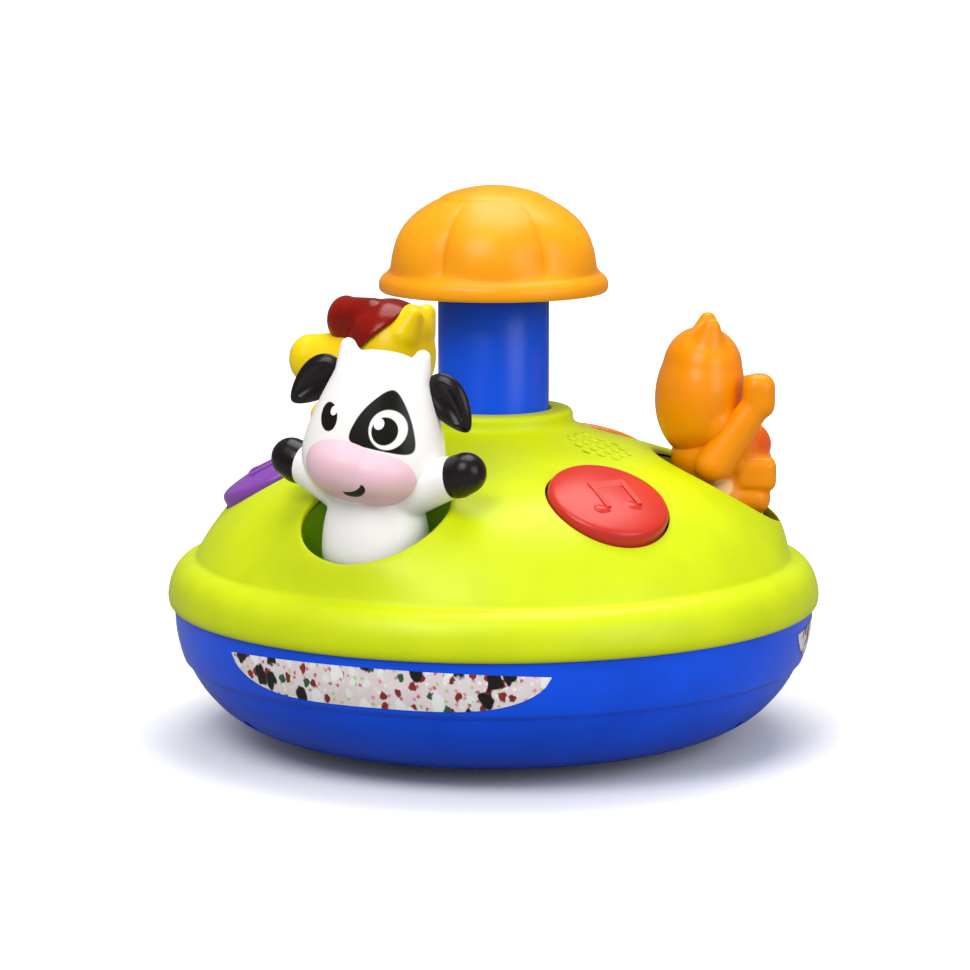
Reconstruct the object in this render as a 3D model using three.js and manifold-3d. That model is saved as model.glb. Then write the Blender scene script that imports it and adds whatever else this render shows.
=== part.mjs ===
// Press-and-spin nursery toy: a domed housing with three rocking animal figures and three
// light-up buttons turns on a still foot when the mushroom knob on its post is pressed down.
// Millimetres, +Z up, origin on the floor under the spin axis, front of the toy towards -Y.

import * as THREE from "three";
import { mergeVertices } from "three/addons/utils/BufferGeometryUtils.js";
import Module from "manifold-3d";

const wasm = await Module();
wasm.setup();

// Whole toy
const rimRadius = 115;
const seamHeight = 45;
const stationInset = 36;
const buttonInset = 38;
const pressTravel = 18;
const seatGap = 0.3;
const turnGap = 0.6;
const cutOverrun = 1;
const weldSize = 0.0001;

// Facets
const bigSteps = 36;
const midSteps = 18;
const smallSteps = 8;
const holeSteps = 6;
const knobSteps = 24;
const limbSteps = 6;
const liningSteps = 4;
const bodySteps = 14;
const ballSteps = 12;
const ballRings = 8;
const curveSteps = 5;
const roundSteps = 2;

// Cover: rolled rim band, dome and collar
const coverWall = 2.6;
const bandTuck = 1.6;
const bandBulge = 5;
const bandCorner = 13.5;
const bandCornerSet = 1.2;
const bandHeight = 19.2;
const bandInset = 4.5;
const creaseInset = 9.4;
const creaseStep = 1;
const creaseRise = 1.8;
const collarRootRadius = 30;
const collarRootLift = 65.6;
const shoulderReach = 30;
const shoulderSlope = 25.4;
const brimReach = 41.4;
const brimSlope = 61.5;
const collarRadius = 28;
const collarLift = 71.6;
const collarRound = 2.5;
const collarTubeWall = 2.6;
const collarTubeLow = 56.8;
const moundHeight = 7;
const moundReach = 40;
const moundShift = 13;
const moundFade = 3.6;

// Figure pockets in the cover
const pocketHalfDepth = 22;
const pocketHalfWidth = 26;
const pocketWall = 2;
const pocketFloor = 58;
const carrierHole = 27;
const carrierGap = 0.6;
const pivotLift = 9;
const pinRadius = 1.5;
const earThickness = 3;
const earInner = 9.5;
const earRadius = 5;

// Buttons: cap, guide tube and board
const buttonRadius = 20.9;
const buttonGap = 0.7;
const buttonCrown = 1.9;
const buttonProud = 0.6;
const buttonWall = 1.8;
const buttonTravel = 1.8;
const flangeWidth = 2.2;
const flangeThickness = 1.2;
const guideWall = 1.8;
const guideDepth = 9.5;
const flangeSeat = 4.4;
const stemRadius = 3;
const switchRadius = 2.5;
const switchHeight = 1.6;
const boardThickness = 1.6;
const lampRadius = 2.2;
const lampHeight = 3;
const lampOffset = 11;

// Speaker and grille
const speakerAngle = 330;
const speakerPlace = 45;
const speakerRadius = 14;
const speakerDepth = 7;
const speakerDrop = 1.2;
const magnetRadius = 8;
const magnetDepth = 3.5;
const grilleRadius = 9.6;
const grillePitch = 4.6;
const grilleHole = 1.25;

// Bowl
const bowlWall = 2.6;
const bowlLow = 4.6;
const bowlFlat = 74;
const bowlTopSet = 2.4;
const bowlToeReach = 21;
const bowlToeRise = 1.4;
const bowlSideSet = 1.1;
const bowlSideDrop = 24.5;
const tongueHeight = 3;
const tongueWall = 2.2;
const hubRecess = 16;
const hubRecessRise = 3.6;
const hubWall = 3.3;
const hubTop = 24;

// Case screws
const bossInset = 20;
const bossRadius = 4.6;
const bossMeet = 33;
const bossWeb = 2.6;
const screwHeadRadius = 3;
const screwHeadHeight = 2;
const screwRadius = 1.4;
const screwLength = 16;
const screwCount = 3;
const firstBossAngle = 90;

// Foot, spindle and bearing
const footRadius = 43;
const footLow = 1.2;
const footTop = 4;
const footBossRadius = 13;
const footBossTop = 6.6;
const gripOuter = 41;
const gripInner = 33;
const gripGroove = 0.9;
const spindleRadius = 8.5;
const spindleTop = 61.1;
const spindleSocket = 2;
const bearingGap = 0.2;
const guideBoreHalf = 4.5;
const guideBoreLow = 12;
const washerThickness = 1;
const washerRadius = 12.4;
const clipThickness = 1.2;
const clipRadius = 12;
const clipGrooveDepth = 0.9;
const clipMouth = 9;
const footScrewRadius = 2;
const footScrewHead = 4;
const footScrewHeadHeight = 1.6;
const footScrewLength = 7;

// Twist drive: rod, nut, ratchet plate and spring
const stripWidth = 8;
const stripThickness = 2.6;
const twistPitch = 48;
const twistMargin = 2.5;
const slotGap = 0.4;
const stripStep = 1.5;
const guideBlockHalf = 4.2;
const guideBlockHeight = 6;
const guideBlockLow = 34;
const headBlockHeight = 6;
const nutRadius = 18.8;
const nutThickness = 4;
const nutCollarRadius = 9;
const nutCollarHeight = 2.4;
const toothCount = 12;
const toothHeight = 2;
const toothInner = 12;
const toothOuter = 18;
const toothPark = 0.4;
const plateThickness = 2.4;
const springWasherInner = 6;
const springWasherOuter = 13;
const springRadius = 9.6;
const springWire = 1.5;
const springTurns = 6;
const springStepsPerTurn = 9;
const springSides = 5;

// Post
const postRadius = 19.5;
const postWall = 2.2;
const postLow = 100;
const postTop = 157.5;
const postTopThickness = 2.6;
const postSeatLift = 10;
const postSeatThickness = 3;
const rodScrewRadius = 1.6;
const rodScrewHead = 3;

// Knob
const knobHeight = 37.2;
const knobRimRadius = 39.9;
const knobRimHeight = 7.2;
const knobRimRound = 1.2;
const knobWaistRadius = 37.2;
const knobShoulderLift = 14;
const knobCrownRadius = 18.5;
const knobCrownDrop = 4.4;
const knobCrownStep = 1;
const knobWall = 2.6;
const knobLobes = 6;
const knobGroove = 4.2;
const knobGrooveSharpness = 0.55;
const knobBaseThickness = 2.6;
const knobBaseLip = 2;
const knobScrewPlace = 12;
const knobScrewRadius = 1.5;
const knobScrewHead = 3;

// Electronics in the bowl
const batteryRadius = 5.25;
const batteryLength = 43.7;
const batteryNub = 0.8;
const batteryNubRadius = 1.9;
const batteryPlace = 59.5;
const batterySpace = 0.5;
const boxWall = 1.8;
const contactThickness = 0.4;
const contactWidth = 8;
const doorThickness = 1.4;
const doorLedge = 1.5;
const doorEarRadius = 4.4;
const doorEarThickness = 3.4;
const doorScrewRadius = 1.2;
const doorScrewHead = 2.4;
const doorScrewHeadHeight = 1.4;
const doorScrewLength = 7;
const doorBossWall = 2;
const boardLength = 56;
const boardWidth = 34;
const boardPlace = 60;
const boardLift = 19;
const chipHalf = 8.5;
const pegRadius = 1.3;
const pegBossRadius = 3;
const pegInset = 4;
const switchPlace = 59;
const sliderLength = 4.4;
const sliderWidth = 2.8;
const sliderTravel = 4.4;
const sliderInset = 0.6;
const sliderHeight = 5.4;
const switchBodyLength = 15;
const switchBodyWidth = 8;
const switchBodyHeight = 6;

// Figures: what the three share
const bodyHalf = 19.5;
const bodyDepthShare = 0.87;
const bodyClear = 1.2;
const bodyRound = 2.5;
const barrelHeight = 18.8;
const shoulderHeight = 12;
const neckRadius = 9;
const tongueDepth = 12;
const tongueWidth = 13;
const armRadius = 6.3;
const armRoot = 14;
const armRootDrop = 6;
const pawRadius = 7.3;
const pawReach = 33.4;
const pawRise = 8;

// Cow
const cowHeadRise = 22;
const cowHeadTurn = 12;
const cowHeadLean = 7;
const cowHeadDepth = 17.5;
const cowHeadWidth = 18.5;
const cowHeadHeight = 19.6;
const cowCheekRise = 6;
const cowCheekDepth = 18;
const cowCheekWidth = 22.3;
const cowCheekHeight = 17.5;
const cowMuzzleRise = 1;
const cowMuzzleAhead = 9;
const cowMuzzleDepth = 13;
const cowMuzzleWidth = 19.6;
const cowMuzzleHeight = 10.4;
const cowHornRadius = 4;
const cowHornPlace = 11.5;
const cowHornRise = 39.5;
const cowHornHeight = 6.5;
const cowEarPlace = 23;
const cowEarRise = 30.5;
const cowEarLength = 11;
const cowEarHeight = 6.6;
const cowEarDepth = 4;
const cowEarDroop = 42;

// Cat
const catHeadSet = -5;
const catHeadRise = 17.5;
const catHeadDepth = 17;
const catHeadWidth = 22;
const catHeadHeight = 25;
const catEarPlace = 12.5;
const catEarSet = -4;
const catEarRise = 36;
const catEarRadius = 7.6;
const catEarHeight = 11.6;
const catMuzzleAhead = 8;
const catMuzzleRise = 9;
const catMuzzleDepth = 8;
const catMuzzleWidth = 11.5;
const catMuzzleHeight = 7;
const catPawAhead = 15.5;
const catPawPlace = 15;
const catPawRise = 18;
const catPawRadius = 5.4;
const catElbowAhead = 9;
const catElbowRise = 4;
const catElbowPlace = 20;
const catFootAhead = 12.5;
const catFootPlace = 10.5;
const catFootRise = -12;
const catFootRadius = 6.4;
const catFootLength = 7;

// Horse
const horseHeadTurn = 40;
const horseHeadSet = -2.5;
const horseHeadRise = 22;
const horseHeadDepth = 15.5;
const horseHeadWidth = 17;
const horseHeadHeight = 20;
const horseSnoutRise = 20;
const horseSnoutRoot = 8;
const horseSnoutRootRadius = 12.5;
const horseSnoutTip = 27;
const horseSnoutTipRadius = 10.2;
const horseEarSet = -9;
const horseEarPlace = 10;
const horseEarRise = 37.5;
const horseEarRadius = 5.4;
const horseEarHeight = 6.4;
const horseArmReach = 26.5;
const horseArmRise = 9;
const horsePawRadius = 6;
const maneForelockRadius = 7.8;
const maneForelockAhead = 16;
const maneForelockRise = 36;
const maneNapeRadius = 3.4;
const maneNapeAhead = -8;
const maneNapeRise = 39.6;

// Shares of the pieces they describe
const bandFootShare = 0.5;
const shoulderShare = 0.7;
const knobSideShare = 0.55;
const knobTopShare = 0.35;
const half = 0.5;

const coverLow = seamHeight + seatGap;
const stationRadius = rimRadius - stationInset;
const buttonPlace = rimRadius - buttonInset;
const creaseRadius = rimRadius - creaseInset;
const bossPlace = rimRadius - bossInset;
const pivotHeight = pocketFloor + pivotLift;
const bodyLow = pivotHeight + earRadius + bodyClear;
const shoulderLow = bodyLow + barrelHeight;
const shoulderTop = shoulderLow + shoulderHeight;
const armRootLift = shoulderTop - armRootDrop;
const pawLift = armRootLift + pawRise;
const cowHeadLift = shoulderTop + cowHeadRise;
const cowCheekLift = shoulderTop + cowCheekRise;
const cowMuzzleLift = shoulderTop + cowMuzzleRise;
const cowHornLift = shoulderTop + cowHornRise;
const cowEarLift = shoulderTop + cowEarRise;
const catHeadLift = shoulderTop + catHeadRise;
const catEarLift = shoulderTop + catEarRise;
const catMuzzleLift = shoulderTop + catMuzzleRise;
const catPawLift = shoulderTop + catPawRise;
const catElbowLift = shoulderTop + catElbowRise;
const catFootLift = shoulderTop + catFootRise;
const horseHeadLift = shoulderTop + horseHeadRise;
const horseSnoutLift = shoulderTop + horseSnoutRise;
const horseEarLift = shoulderTop + horseEarRise;
const maneForelockLift = shoulderTop + maneForelockRise;
const maneNapeLift = shoulderTop + maneNapeRise;
const postSeatHeight = postLow + postSeatLift;
const knobRimLow = postTop + seatGap;
const knobTop = knobRimLow + knobHeight;
const collarBore = postRadius + turnGap;
const collarTubeRadius = collarBore + collarTubeWall;
const bearingRadius = spindleRadius + bearingGap;
const socketLow = footTop - spindleSocket * half;
const nutLow = spindleTop + seatGap;
const nutTop = nutLow + nutThickness;
const nutCollarTop = nutTop + nutCollarHeight;
const toothTipLow = nutLow - toothHeight;
const plateToothTop = toothTipLow - toothPark;
const plateTop = plateToothTop - toothHeight;
const twistLow = nutLow - twistMargin;
const twistHigh = nutCollarTop + pressTravel + twistMargin;
const springWasherLow = nutCollarTop + seatGap;
const springWasherTop = springWasherLow + washerThickness;
const springLow = springWasherTop + seatGap;
const springHigh = postSeatHeight - seatGap;

const finishes = {
  lime: finish(0xc8e000, 0.35),
  blue: finish(0x0050d7, 0.35),
  orange: finish(0xf59b00, 0.35),
  catOrange: finish(0xf07d00, 0.35),
  white: finish(0xf4f2f4, 0.35),
  pink: finish(0xebcbd5, 0.4),
  black: finish(0x1e1a1c, 0.35),
  yellow: finish(0xf0d020, 0.35),
  mane: finish(0xa01810, 0.3),
  redLens: finish(0xdf4030, 0.2),
  purpleLens: finish(0x8a4bb0, 0.2),
  orangeLens: finish(0xe87820, 0.2),
  rubber: finish(0x2a2c30, 0.8),
  steel: finish(0xb9bcc0, 0.3, 1),
  board: finish(0x2f7a3c, 0.5),
  acetal: finish(0xe9e7de, 0.45),
  battery: finish(0x3a4148, 0.35, 0.6),
};

function finish(color, roughness, metalness = 0) {
  return new THREE.MeshStandardMaterial({ color, roughness, metalness });
}

function at(radius, height) {
  return new THREE.Vector2(radius, height);
}

// Closed surface as a solid that can be joined and cut
function solid(geometry) {
  geometry.deleteAttribute("normal");
  geometry.deleteAttribute("uv");
  const welded = mergeVertices(geometry, weldSize);
  const corners = welded.index.array;
  const kept = [];
  for (let i = 0; i < corners.length; i += 3) {
    const [a, b, c] = [corners[i], corners[i + 1], corners[i + 2]];
    if (a !== b && b !== c && c !== a) kept.push(a, b, c);
  }
  return new wasm.Manifold(new wasm.Mesh({
    numProp: 3,
    vertProperties: new Float32Array(welded.getAttribute("position").array),
    triVerts: new Uint32Array(kept),
  }));
}

function named(name, shape, material) {
  const cut = shape.getMesh();
  const geometry = new THREE.BufferGeometry();
  geometry.setAttribute("position", new THREE.BufferAttribute(cut.vertProperties, 3));
  geometry.setIndex(new THREE.BufferAttribute(cut.triVerts, 1));
  geometry.computeVertexNormals();
  const piece = new THREE.Mesh(geometry, material);
  piece.name = name;
  return piece;
}

function joined(shapes) {
  return shapes.reduce((sum, shape) => sum.add(shape));
}

// Leaves off slivers that a cut splits from the main body
function keepLargest(shape) {
  return shape.decompose().reduce((best, one) => (one.volume() > best.volume() ? one : best));
}

// Profile of radius and height turned round the vertical axis; it runs anticlockwise
function turned(profile, steps, change) {
  const geometry = new THREE.LatheGeometry(profile, steps);
  geometry.rotateX(Math.PI / 2);
  if (change) reshape(geometry, change);
  return solid(geometry);
}

function reshape(geometry, change) {
  const places = geometry.getAttribute("position");
  const place = new THREE.Vector3();
  for (let i = 0; i < places.count; i += 1) {
    place.fromBufferAttribute(places, i);
    change(place);
    places.setXYZ(i, place.x, place.y, place.z);
  }
}

function moved(shape, x, y, z) {
  return solidMoved(shape, new THREE.Matrix4().makeTranslation(x, y, z));
}

function solidMoved(shape, matrix) {
  return shape.transform(matrix.elements);
}

function disc(radius, low, high, steps) {
  return turned([at(0, low), at(radius, low), at(radius, high), at(0, high)], steps);
}

function ring(inner, outer, low, high, steps) {
  return turned([at(inner, low), at(outer, low), at(outer, high), at(inner, high), at(inner, low)], steps);
}

function block(low, high) {
  const size = new THREE.Vector3().subVectors(high, low);
  const geometry = new THREE.BoxGeometry(size.x, size.y, size.z);
  const middle = new THREE.Vector3().addVectors(low, high).multiplyScalar(half);
  geometry.translate(middle.x, middle.y, middle.z);
  return solid(geometry);
}

function bar(halfX, halfY, low, high) {
  return block(new THREE.Vector3(-halfX, -halfY, low), new THREE.Vector3(halfX, halfY, high));
}

function ball(halfX, halfY, halfZ, x, y, z, steps = ballSteps, rings = ballRings) {
  const geometry = new THREE.SphereGeometry(1, steps, rings);
  geometry.rotateX(Math.PI / 2);
  geometry.scale(halfX, halfY, halfZ);
  geometry.translate(x, y, z);
  return solid(geometry);
}

// Round-ended limb between two points
function limb(radius, from, to, steps = smallSteps) {
  const along = new THREE.Vector3().subVectors(to, from);
  const geometry = new THREE.CapsuleGeometry(radius, along.length(), roundSteps, steps);
  const upright = new THREE.Vector3(0, 1, 0);
  const turn = new THREE.Quaternion().setFromUnitVectors(upright, along.clone().normalize());
  geometry.applyQuaternion(turn);
  const middle = new THREE.Vector3().addVectors(from, to).multiplyScalar(half);
  geometry.translate(middle.x, middle.y, middle.z);
  return solid(geometry);
}

function ellipseColumn(halfX, halfY, low, high, steps) {
  const geometry = new THREE.CylinderGeometry(1, 1, high - low, steps);
  geometry.rotateX(Math.PI / 2);
  geometry.scale(halfX, halfY, 1);
  geometry.translate(0, 0, (low + high) * half);
  return solid(geometry);
}

// Pin or hole that lies along X
function crossPin(radius, halfLength, height, steps) {
  const geometry = new THREE.CylinderGeometry(radius, radius, 2 * halfLength, steps);
  geometry.rotateZ(Math.PI / 2);
  geometry.translate(0, 0, height);
  return solid(geometry);
}

// Where the cover is at a radius: height of its skin and how steeply it falls away
const domeCurve = new THREE.CubicBezierCurve(
  at(creaseRadius - creaseStep, coverLow + bandHeight + creaseRise),
  at(creaseRadius - creaseStep - brimReach * Math.cos(radians(brimSlope)),
    coverLow + bandHeight + creaseRise + brimReach * Math.sin(radians(brimSlope))),
  at(collarRootRadius + shoulderReach * Math.cos(radians(shoulderSlope)),
    coverLow + collarRootLift - shoulderReach * Math.sin(radians(shoulderSlope))),
  at(collarRootRadius, coverLow + collarRootLift),
);

function radians(degrees) {
  return THREE.MathUtils.degToRad(degrees);
}

function coverAt(radius) {
  let near = 0;
  let far = 1;
  while (far - near > weldSize) {
    const middle = (near + far) * half;
    if (domeCurve.getPoint(middle).x > radius) near = middle;
    else far = middle;
  }
  const run = domeCurve.getTangent(near);
  return { height: domeCurve.getPoint(near).y, slope: Math.atan2(run.y, -run.x) };
}

function stationPlace(degrees, radius) {
  const angle = radians(degrees);
  return new THREE.Vector2(radius * Math.cos(angle), radius * Math.sin(angle));
}

// Figures and buttons take turns round the cover, anticlockwise from the right
const figureAngles = { cat: 0, horse: 120, cow: 240 };
const buttonAngles = { orange: 60, purple: 180, red: 300 };

// The skin swells round each figure and comes down again steeply just inside the crease
function swell(place) {
  const radius = Math.hypot(place.x, place.y);
  if (place.z < coverLow + bandHeight - coverWall || radius < collarTubeRadius + coverWall) return;
  const fade = THREE.MathUtils.clamp((creaseRadius - creaseStep - radius) / moundFade, 0, 1);
  for (const angle of Object.values(figureAngles)) {
    const centre = stationPlace(angle, stationRadius + moundShift);
    const far = Math.hypot(place.x - centre.x, place.y - centre.y) / moundReach;
    if (far < 1) place.z += moundHeight * fade * half * (1 + Math.cos(Math.PI * far));
  }
}

function inset(points, depth) {
  return points.map((point, index) => {
    const before = points[Math.max(index - 1, 0)];
    const after = points[Math.min(index + 1, points.length - 1)];
    const run = new THREE.Vector2().subVectors(after, before).normalize();
    return at(point.x - run.y * depth, point.y + run.x * depth);
  });
}

function bandPoints() {
  const foot = at(rimRadius - bandTuck, coverLow);
  const side = at(rimRadius, coverLow + bandBulge);
  const crease = at(creaseRadius, coverLow + bandHeight);
  const lower = new THREE.QuadraticBezierCurve(
    foot, at(rimRadius, coverLow + bandBulge * bandFootShare), side);
  const upper = new THREE.QuadraticBezierCurve(
    side, at(rimRadius - bandCornerSet, coverLow + bandCorner), crease);
  return [...lower.getPoints(roundSteps - 1), ...upper.getPoints(roundSteps).slice(1)];
}

function collarPoints() {
  const top = coverLow + collarLift;
  const lip = new THREE.QuadraticBezierCurve(
    at(collarRadius, top - collarRound), at(collarRadius, top), at(collarRadius - collarRound, top));
  return [...lip.getPoints(roundSteps), at(collarBore, top)];
}

function coverSkin() {
  return [...bandPoints(), ...domeCurve.getPoints(curveSteps), ...collarPoints()];
}

function coverShell() {
  const innerDome = inset(domeCurve.getPoints(liningSteps), coverWall);
  innerDome[innerDome.length - 1].x = collarTubeRadius;
  const bandInside = rimRadius - bandInset;
  const profile = [
    ...coverSkin(),
    at(collarBore, collarTubeLow),
    at(collarTubeRadius, collarTubeLow),
    ...innerDome.reverse(),
    at(bandInside, coverLow + bandHeight * half),
    at(bandInside, coverLow),
    at(rimRadius - bandTuck, coverLow),
  ];
  return turned(profile, bigSteps, swell);
}

// Everything under the skin, for trimming what is moulded inside the cover
function coverEnvelope() {
  const inner = rimRadius - bandInset;
  const skin = coverSkin().filter((point) => point.y > coverLow);
  return turned([at(0, bossMeet), at(inner, bossMeet), at(inner, coverLow), ...skin,
    at(0, coverLow + collarLift)], bigSteps, swell);
}

function stationMatrix(degrees, radius, height, tilt) {
  const matrix = new THREE.Matrix4().makeRotationZ(radians(degrees));
  matrix.multiply(new THREE.Matrix4().makeTranslation(radius, 0, height));
  return matrix.multiply(new THREE.Matrix4().makeRotationY(tilt));
}

const buttonSeat = coverAt(buttonPlace);
const speakerSeat = coverAt(speakerPlace);
const holeRadius = buttonRadius + buttonGap;
const guideRadius = holeRadius + flangeWidth;
const buttonBoardTop = -guideDepth - seatGap;

function pocketRoom() {
  return ellipseColumn(pocketHalfDepth, pocketHalfWidth,
    pocketFloor, coverLow + collarLift + cutOverrun, midSteps);
}

// Carrier: one moulding with a cup below each pocket opening, on a flat ring round the collar
function makeFigureCarrier() {
  const floor = pocketFloor - pocketWall;
  const edge = stationRadius - pocketHalfDepth + pocketWall;
  const solids = [ring(carrierHole, edge, floor, pocketFloor, midSteps)];
  const rooms = [];
  for (const angle of Object.values(figureAngles)) {
    const matrix = stationMatrix(angle, stationRadius, 0, 0);
    const cup = ellipseColumn(pocketHalfDepth + pocketWall, pocketHalfWidth + pocketWall,
      floor, coverLow + collarLift, midSteps);
    solids.push(solidMoved(cup, matrix));
    rooms.push(solidMoved(pocketRoom().subtract(pivotEars()), matrix));
  }
  const cover = [coverShell(), moved(coverShell(), 0, 0, -carrierGap)];
  return keepLargest(joined(solids).intersect(coverEnvelope()).subtract(joined([...cover, ...rooms])));
}

function pivotEars() {
  const outer = earInner + earThickness;
  const plates = [-1, 1].map((side) => {
    const middle = side * (earInner + outer) * half;
    const cheek = moved(crossPin(earRadius, earThickness * half, pivotHeight, limbSteps), middle, 0, 0);
    const leg = moved(bar(earThickness * half, earRadius, pocketFloor - pocketWall * half, pivotHeight),
      middle, 0, 0);
    return cheek.add(leg);
  });
  return joined(plates).subtract(crossPin(pinRadius + seatGap, outer + cutOverrun, pivotHeight, holeSteps));
}

function grilleCuts() {
  const cuts = [];
  const rowRise = grillePitch * Math.sin(Math.PI / 3);
  const reach = Math.ceil(grilleRadius / grillePitch);
  for (let row = -reach; row <= reach; row += 1) {
    for (let column = -reach; column <= reach; column += 1) {
      const x = row * rowRise;
      const y = (column + (row % 2 ? half : 0)) * grillePitch;
      if (Math.hypot(x, y) > grilleRadius) continue;
      const hole = disc(grilleHole, -coverWall - speakerDrop, coverWall, holeSteps);
      cuts.push(moved(hole, x, y, 0));
    }
  }
  return joined(cuts);
}

function makeCover() {
  const inside = [];
  const cuts = [];
  for (const angle of Object.values(figureAngles)) {
    cuts.push(solidMoved(pocketRoom(), stationMatrix(angle, stationRadius, 0, 0)));
  }
  for (const angle of Object.values(buttonAngles)) {
    const matrix = stationMatrix(angle, buttonPlace, buttonSeat.height, buttonSeat.slope);
    const tube = ring(guideRadius, guideRadius + guideWall, -guideDepth, 0, midSteps);
    inside.push(solidMoved(tube, matrix));
    const opening = disc(holeRadius, -guideDepth, buttonRadius, midSteps);
    const room = disc(guideRadius, -guideDepth - cutOverrun, -flangeSeat, midSteps);
    cuts.push(solidMoved(opening.add(room), matrix));
  }
  for (let index = 0; index < screwCount; index += 1) {
    const matrix = stationMatrix(bossAngle(index), bossPlace, 0, 0);
    const boss = disc(bossRadius, bossMeet + seatGap, coverLow + collarLift, smallSteps);
    inside.push(solidMoved(boss, matrix));
    const pilot = disc(screwRadius + seatGap, bossMeet, bossMeet + screwLength, holeSteps);
    cuts.push(solidMoved(pilot, matrix));
  }
  const grille = stationMatrix(speakerAngle, speakerPlace, speakerSeat.height, speakerSeat.slope);
  cuts.push(solidMoved(grilleCuts(), grille));
  const features = joined(inside).intersect(coverEnvelope());
  return keepLargest(coverShell().add(features).subtract(joined(cuts)));
}

function bossAngle(index) {
  return firstBossAngle + THREE.MathUtils.radToDeg(2 * Math.PI * index / screwCount);
}

function bowlSkin(steps) {
  const curve = new THREE.CubicBezierCurve(
    at(bowlFlat, bowlLow),
    at(bowlFlat + bowlToeReach, bowlLow + bowlToeRise),
    at(rimRadius - bowlTopSet - bowlSideSet, seamHeight - bowlSideDrop),
    at(rimRadius - bowlTopSet, seamHeight),
  );
  return curve.getPoints(steps);
}

function bowlShell() {
  const skin = bowlSkin(curveSteps);
  const lining = inset(bowlSkin(liningSteps), bowlWall);
  const tongueOuter = rimRadius - bandInset - seatGap;
  const tongueInner = tongueOuter - tongueWall;
  const liningTop = lining.length - 2;
  const hubLow = bowlLow + hubRecessRise;
  return [
    at(bearingRadius, hubLow),
    at(hubRecess, hubLow),
    at(hubRecess, bowlLow),
    ...skin,
    at(tongueOuter, seamHeight),
    at(tongueOuter, seamHeight + tongueHeight),
    at(tongueInner, seamHeight + tongueHeight),
    at(tongueInner, seamHeight - tongueHeight),
    ...lining.slice(0, liningTop).reverse(),
    at(hubRecess + bowlWall, bowlLow + bowlWall),
    at(hubRecess + bowlWall, hubLow + bowlWall),
    at(bearingRadius + hubWall, hubLow + bowlWall),
    at(bearingRadius + hubWall, hubTop),
    at(bearingRadius, hubTop),
    at(bearingRadius, hubLow),
  ];
}

const boxHalfDepth = 2 * batteryRadius + batterySpace + batterySpace * half;
const boxHalfLength = batteryLength * half + batteryNub + contactThickness * 2 + batterySpace * 2;
const doorHalfDepth = boxHalfDepth + doorLedge;
const doorHalfLength = boxHalfLength + doorLedge;
const doorEarPlace = doorHalfLength + doorEarRadius * half;
const doorEarTop = bowlLow + doorEarThickness;
const batteryHeight = bowlLow + bowlWall + batteryRadius;
const boxTop = batteryHeight + batteryRadius + batterySpace;

// The battery bay lies across the back of the bowl
function batteryBayMatrix() {
  return new THREE.Matrix4().makeRotationZ(Math.PI / 2).setPosition(0, batteryPlace, 0);
}

function doorEar(grow, low, high) {
  return moved(disc(doorEarRadius + grow, low, high, smallSteps), 0, doorEarPlace, 0);
}

function batteryBox() {
  const low = bowlLow + bowlWall * half;
  const box = bar(boxHalfDepth + boxWall, boxHalfLength + boxWall, low, boxTop + boxWall);
  return box.add(doorEar(doorBossWall, low, doorEarTop + doorScrewLength));
}

function batteryBoxCuts() {
  const under = bowlLow - cutOverrun;
  const room = bar(boxHalfDepth, boxHalfLength, under, boxTop);
  const seat = bar(doorHalfDepth + seatGap, doorHalfLength + seatGap,
    under, bowlLow + doorThickness + seatGap);
  const ear = doorEar(seatGap, under, doorEarTop + seatGap);
  const pilotTop = doorEarTop + doorScrewLength + cutOverrun;
  const pilot = disc(doorScrewRadius + seatGap, bowlLow, pilotTop, holeSteps);
  return joined([room, seat, ear, moved(pilot, 0, doorEarPlace, 0)]);
}

function makeDoor() {
  const plate = bar(doorHalfDepth, doorHalfLength, bowlLow, bowlLow + doorThickness);
  const under = bowlLow - cutOverrun;
  const hole = disc(doorScrewRadius + seatGap, under, doorEarTop + cutOverrun, holeSteps);
  const head = disc(doorScrewHead + seatGap, under, bowlLow + doorScrewHeadHeight + seatGap, smallSteps);
  return plate.add(doorEar(0, bowlLow, doorEarTop)).subtract(moved(hole.add(head), 0, doorEarPlace, 0));
}

function makeDoorScrew() {
  const headTop = bowlLow + doorScrewHeadHeight;
  const head = disc(doorScrewHead, bowlLow, headTop, smallSteps);
  const shankLow = bowlLow + doorScrewHeadHeight * half;
  const shank = disc(doorScrewRadius, shankLow, headTop + doorScrewLength, holeSteps);
  return moved(head.add(shank), 0, doorEarPlace, 0);
}

function makeBowl() {
  const pads = [solidMoved(batteryBox(), batteryBayMatrix())];
  const cuts = [solidMoved(batteryBoxCuts(), batteryBayMatrix()), sliderSlot()];
  for (const peg of pegPlaces()) {
    const boss = disc(pegBossRadius, bowlLow + bowlWall * half, boardLift - seatGap, holeSteps);
    const pin = disc(pegRadius, bowlLow + bowlWall, boardLift + boardThickness + seatGap, holeSteps);
    pads.push(moved(boss.add(pin), peg.x, peg.y, 0));
  }
  for (let index = 0; index < screwCount; index += 1) {
    const matrix = stationMatrix(bossAngle(index), bossPlace, 0, 0);
    pads.push(solidMoved(disc(bossRadius, bowlLow + bowlWall, bossMeet, smallSteps), matrix));
    const well = disc(screwHeadRadius + seatGap, 0, bossMeet - bossWeb, smallSteps);
    const hole = disc(screwRadius + seatGap, 0, bossMeet + cutOverrun, holeSteps);
    cuts.push(solidMoved(well.add(hole), matrix));
  }
  const outside = turned([
    at(0, 0), at(rimRadius, 0), at(rimRadius, seamHeight),
    ...bowlSkin(curveSteps).reverse(), at(0, bowlLow),
  ], bigSteps);
  return turned(bowlShell(), bigSteps).add(joined(pads).subtract(outside)).subtract(joined(cuts));
}

function sliderSlot() {
  const slot = bar(sliderWidth * half + turnGap, (sliderLength + sliderTravel) * half + turnGap,
    bowlLow - cutOverrun, bowlLow + bowlWall + cutOverrun);
  return moved(slot, switchPlace, 0, 0);
}

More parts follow.
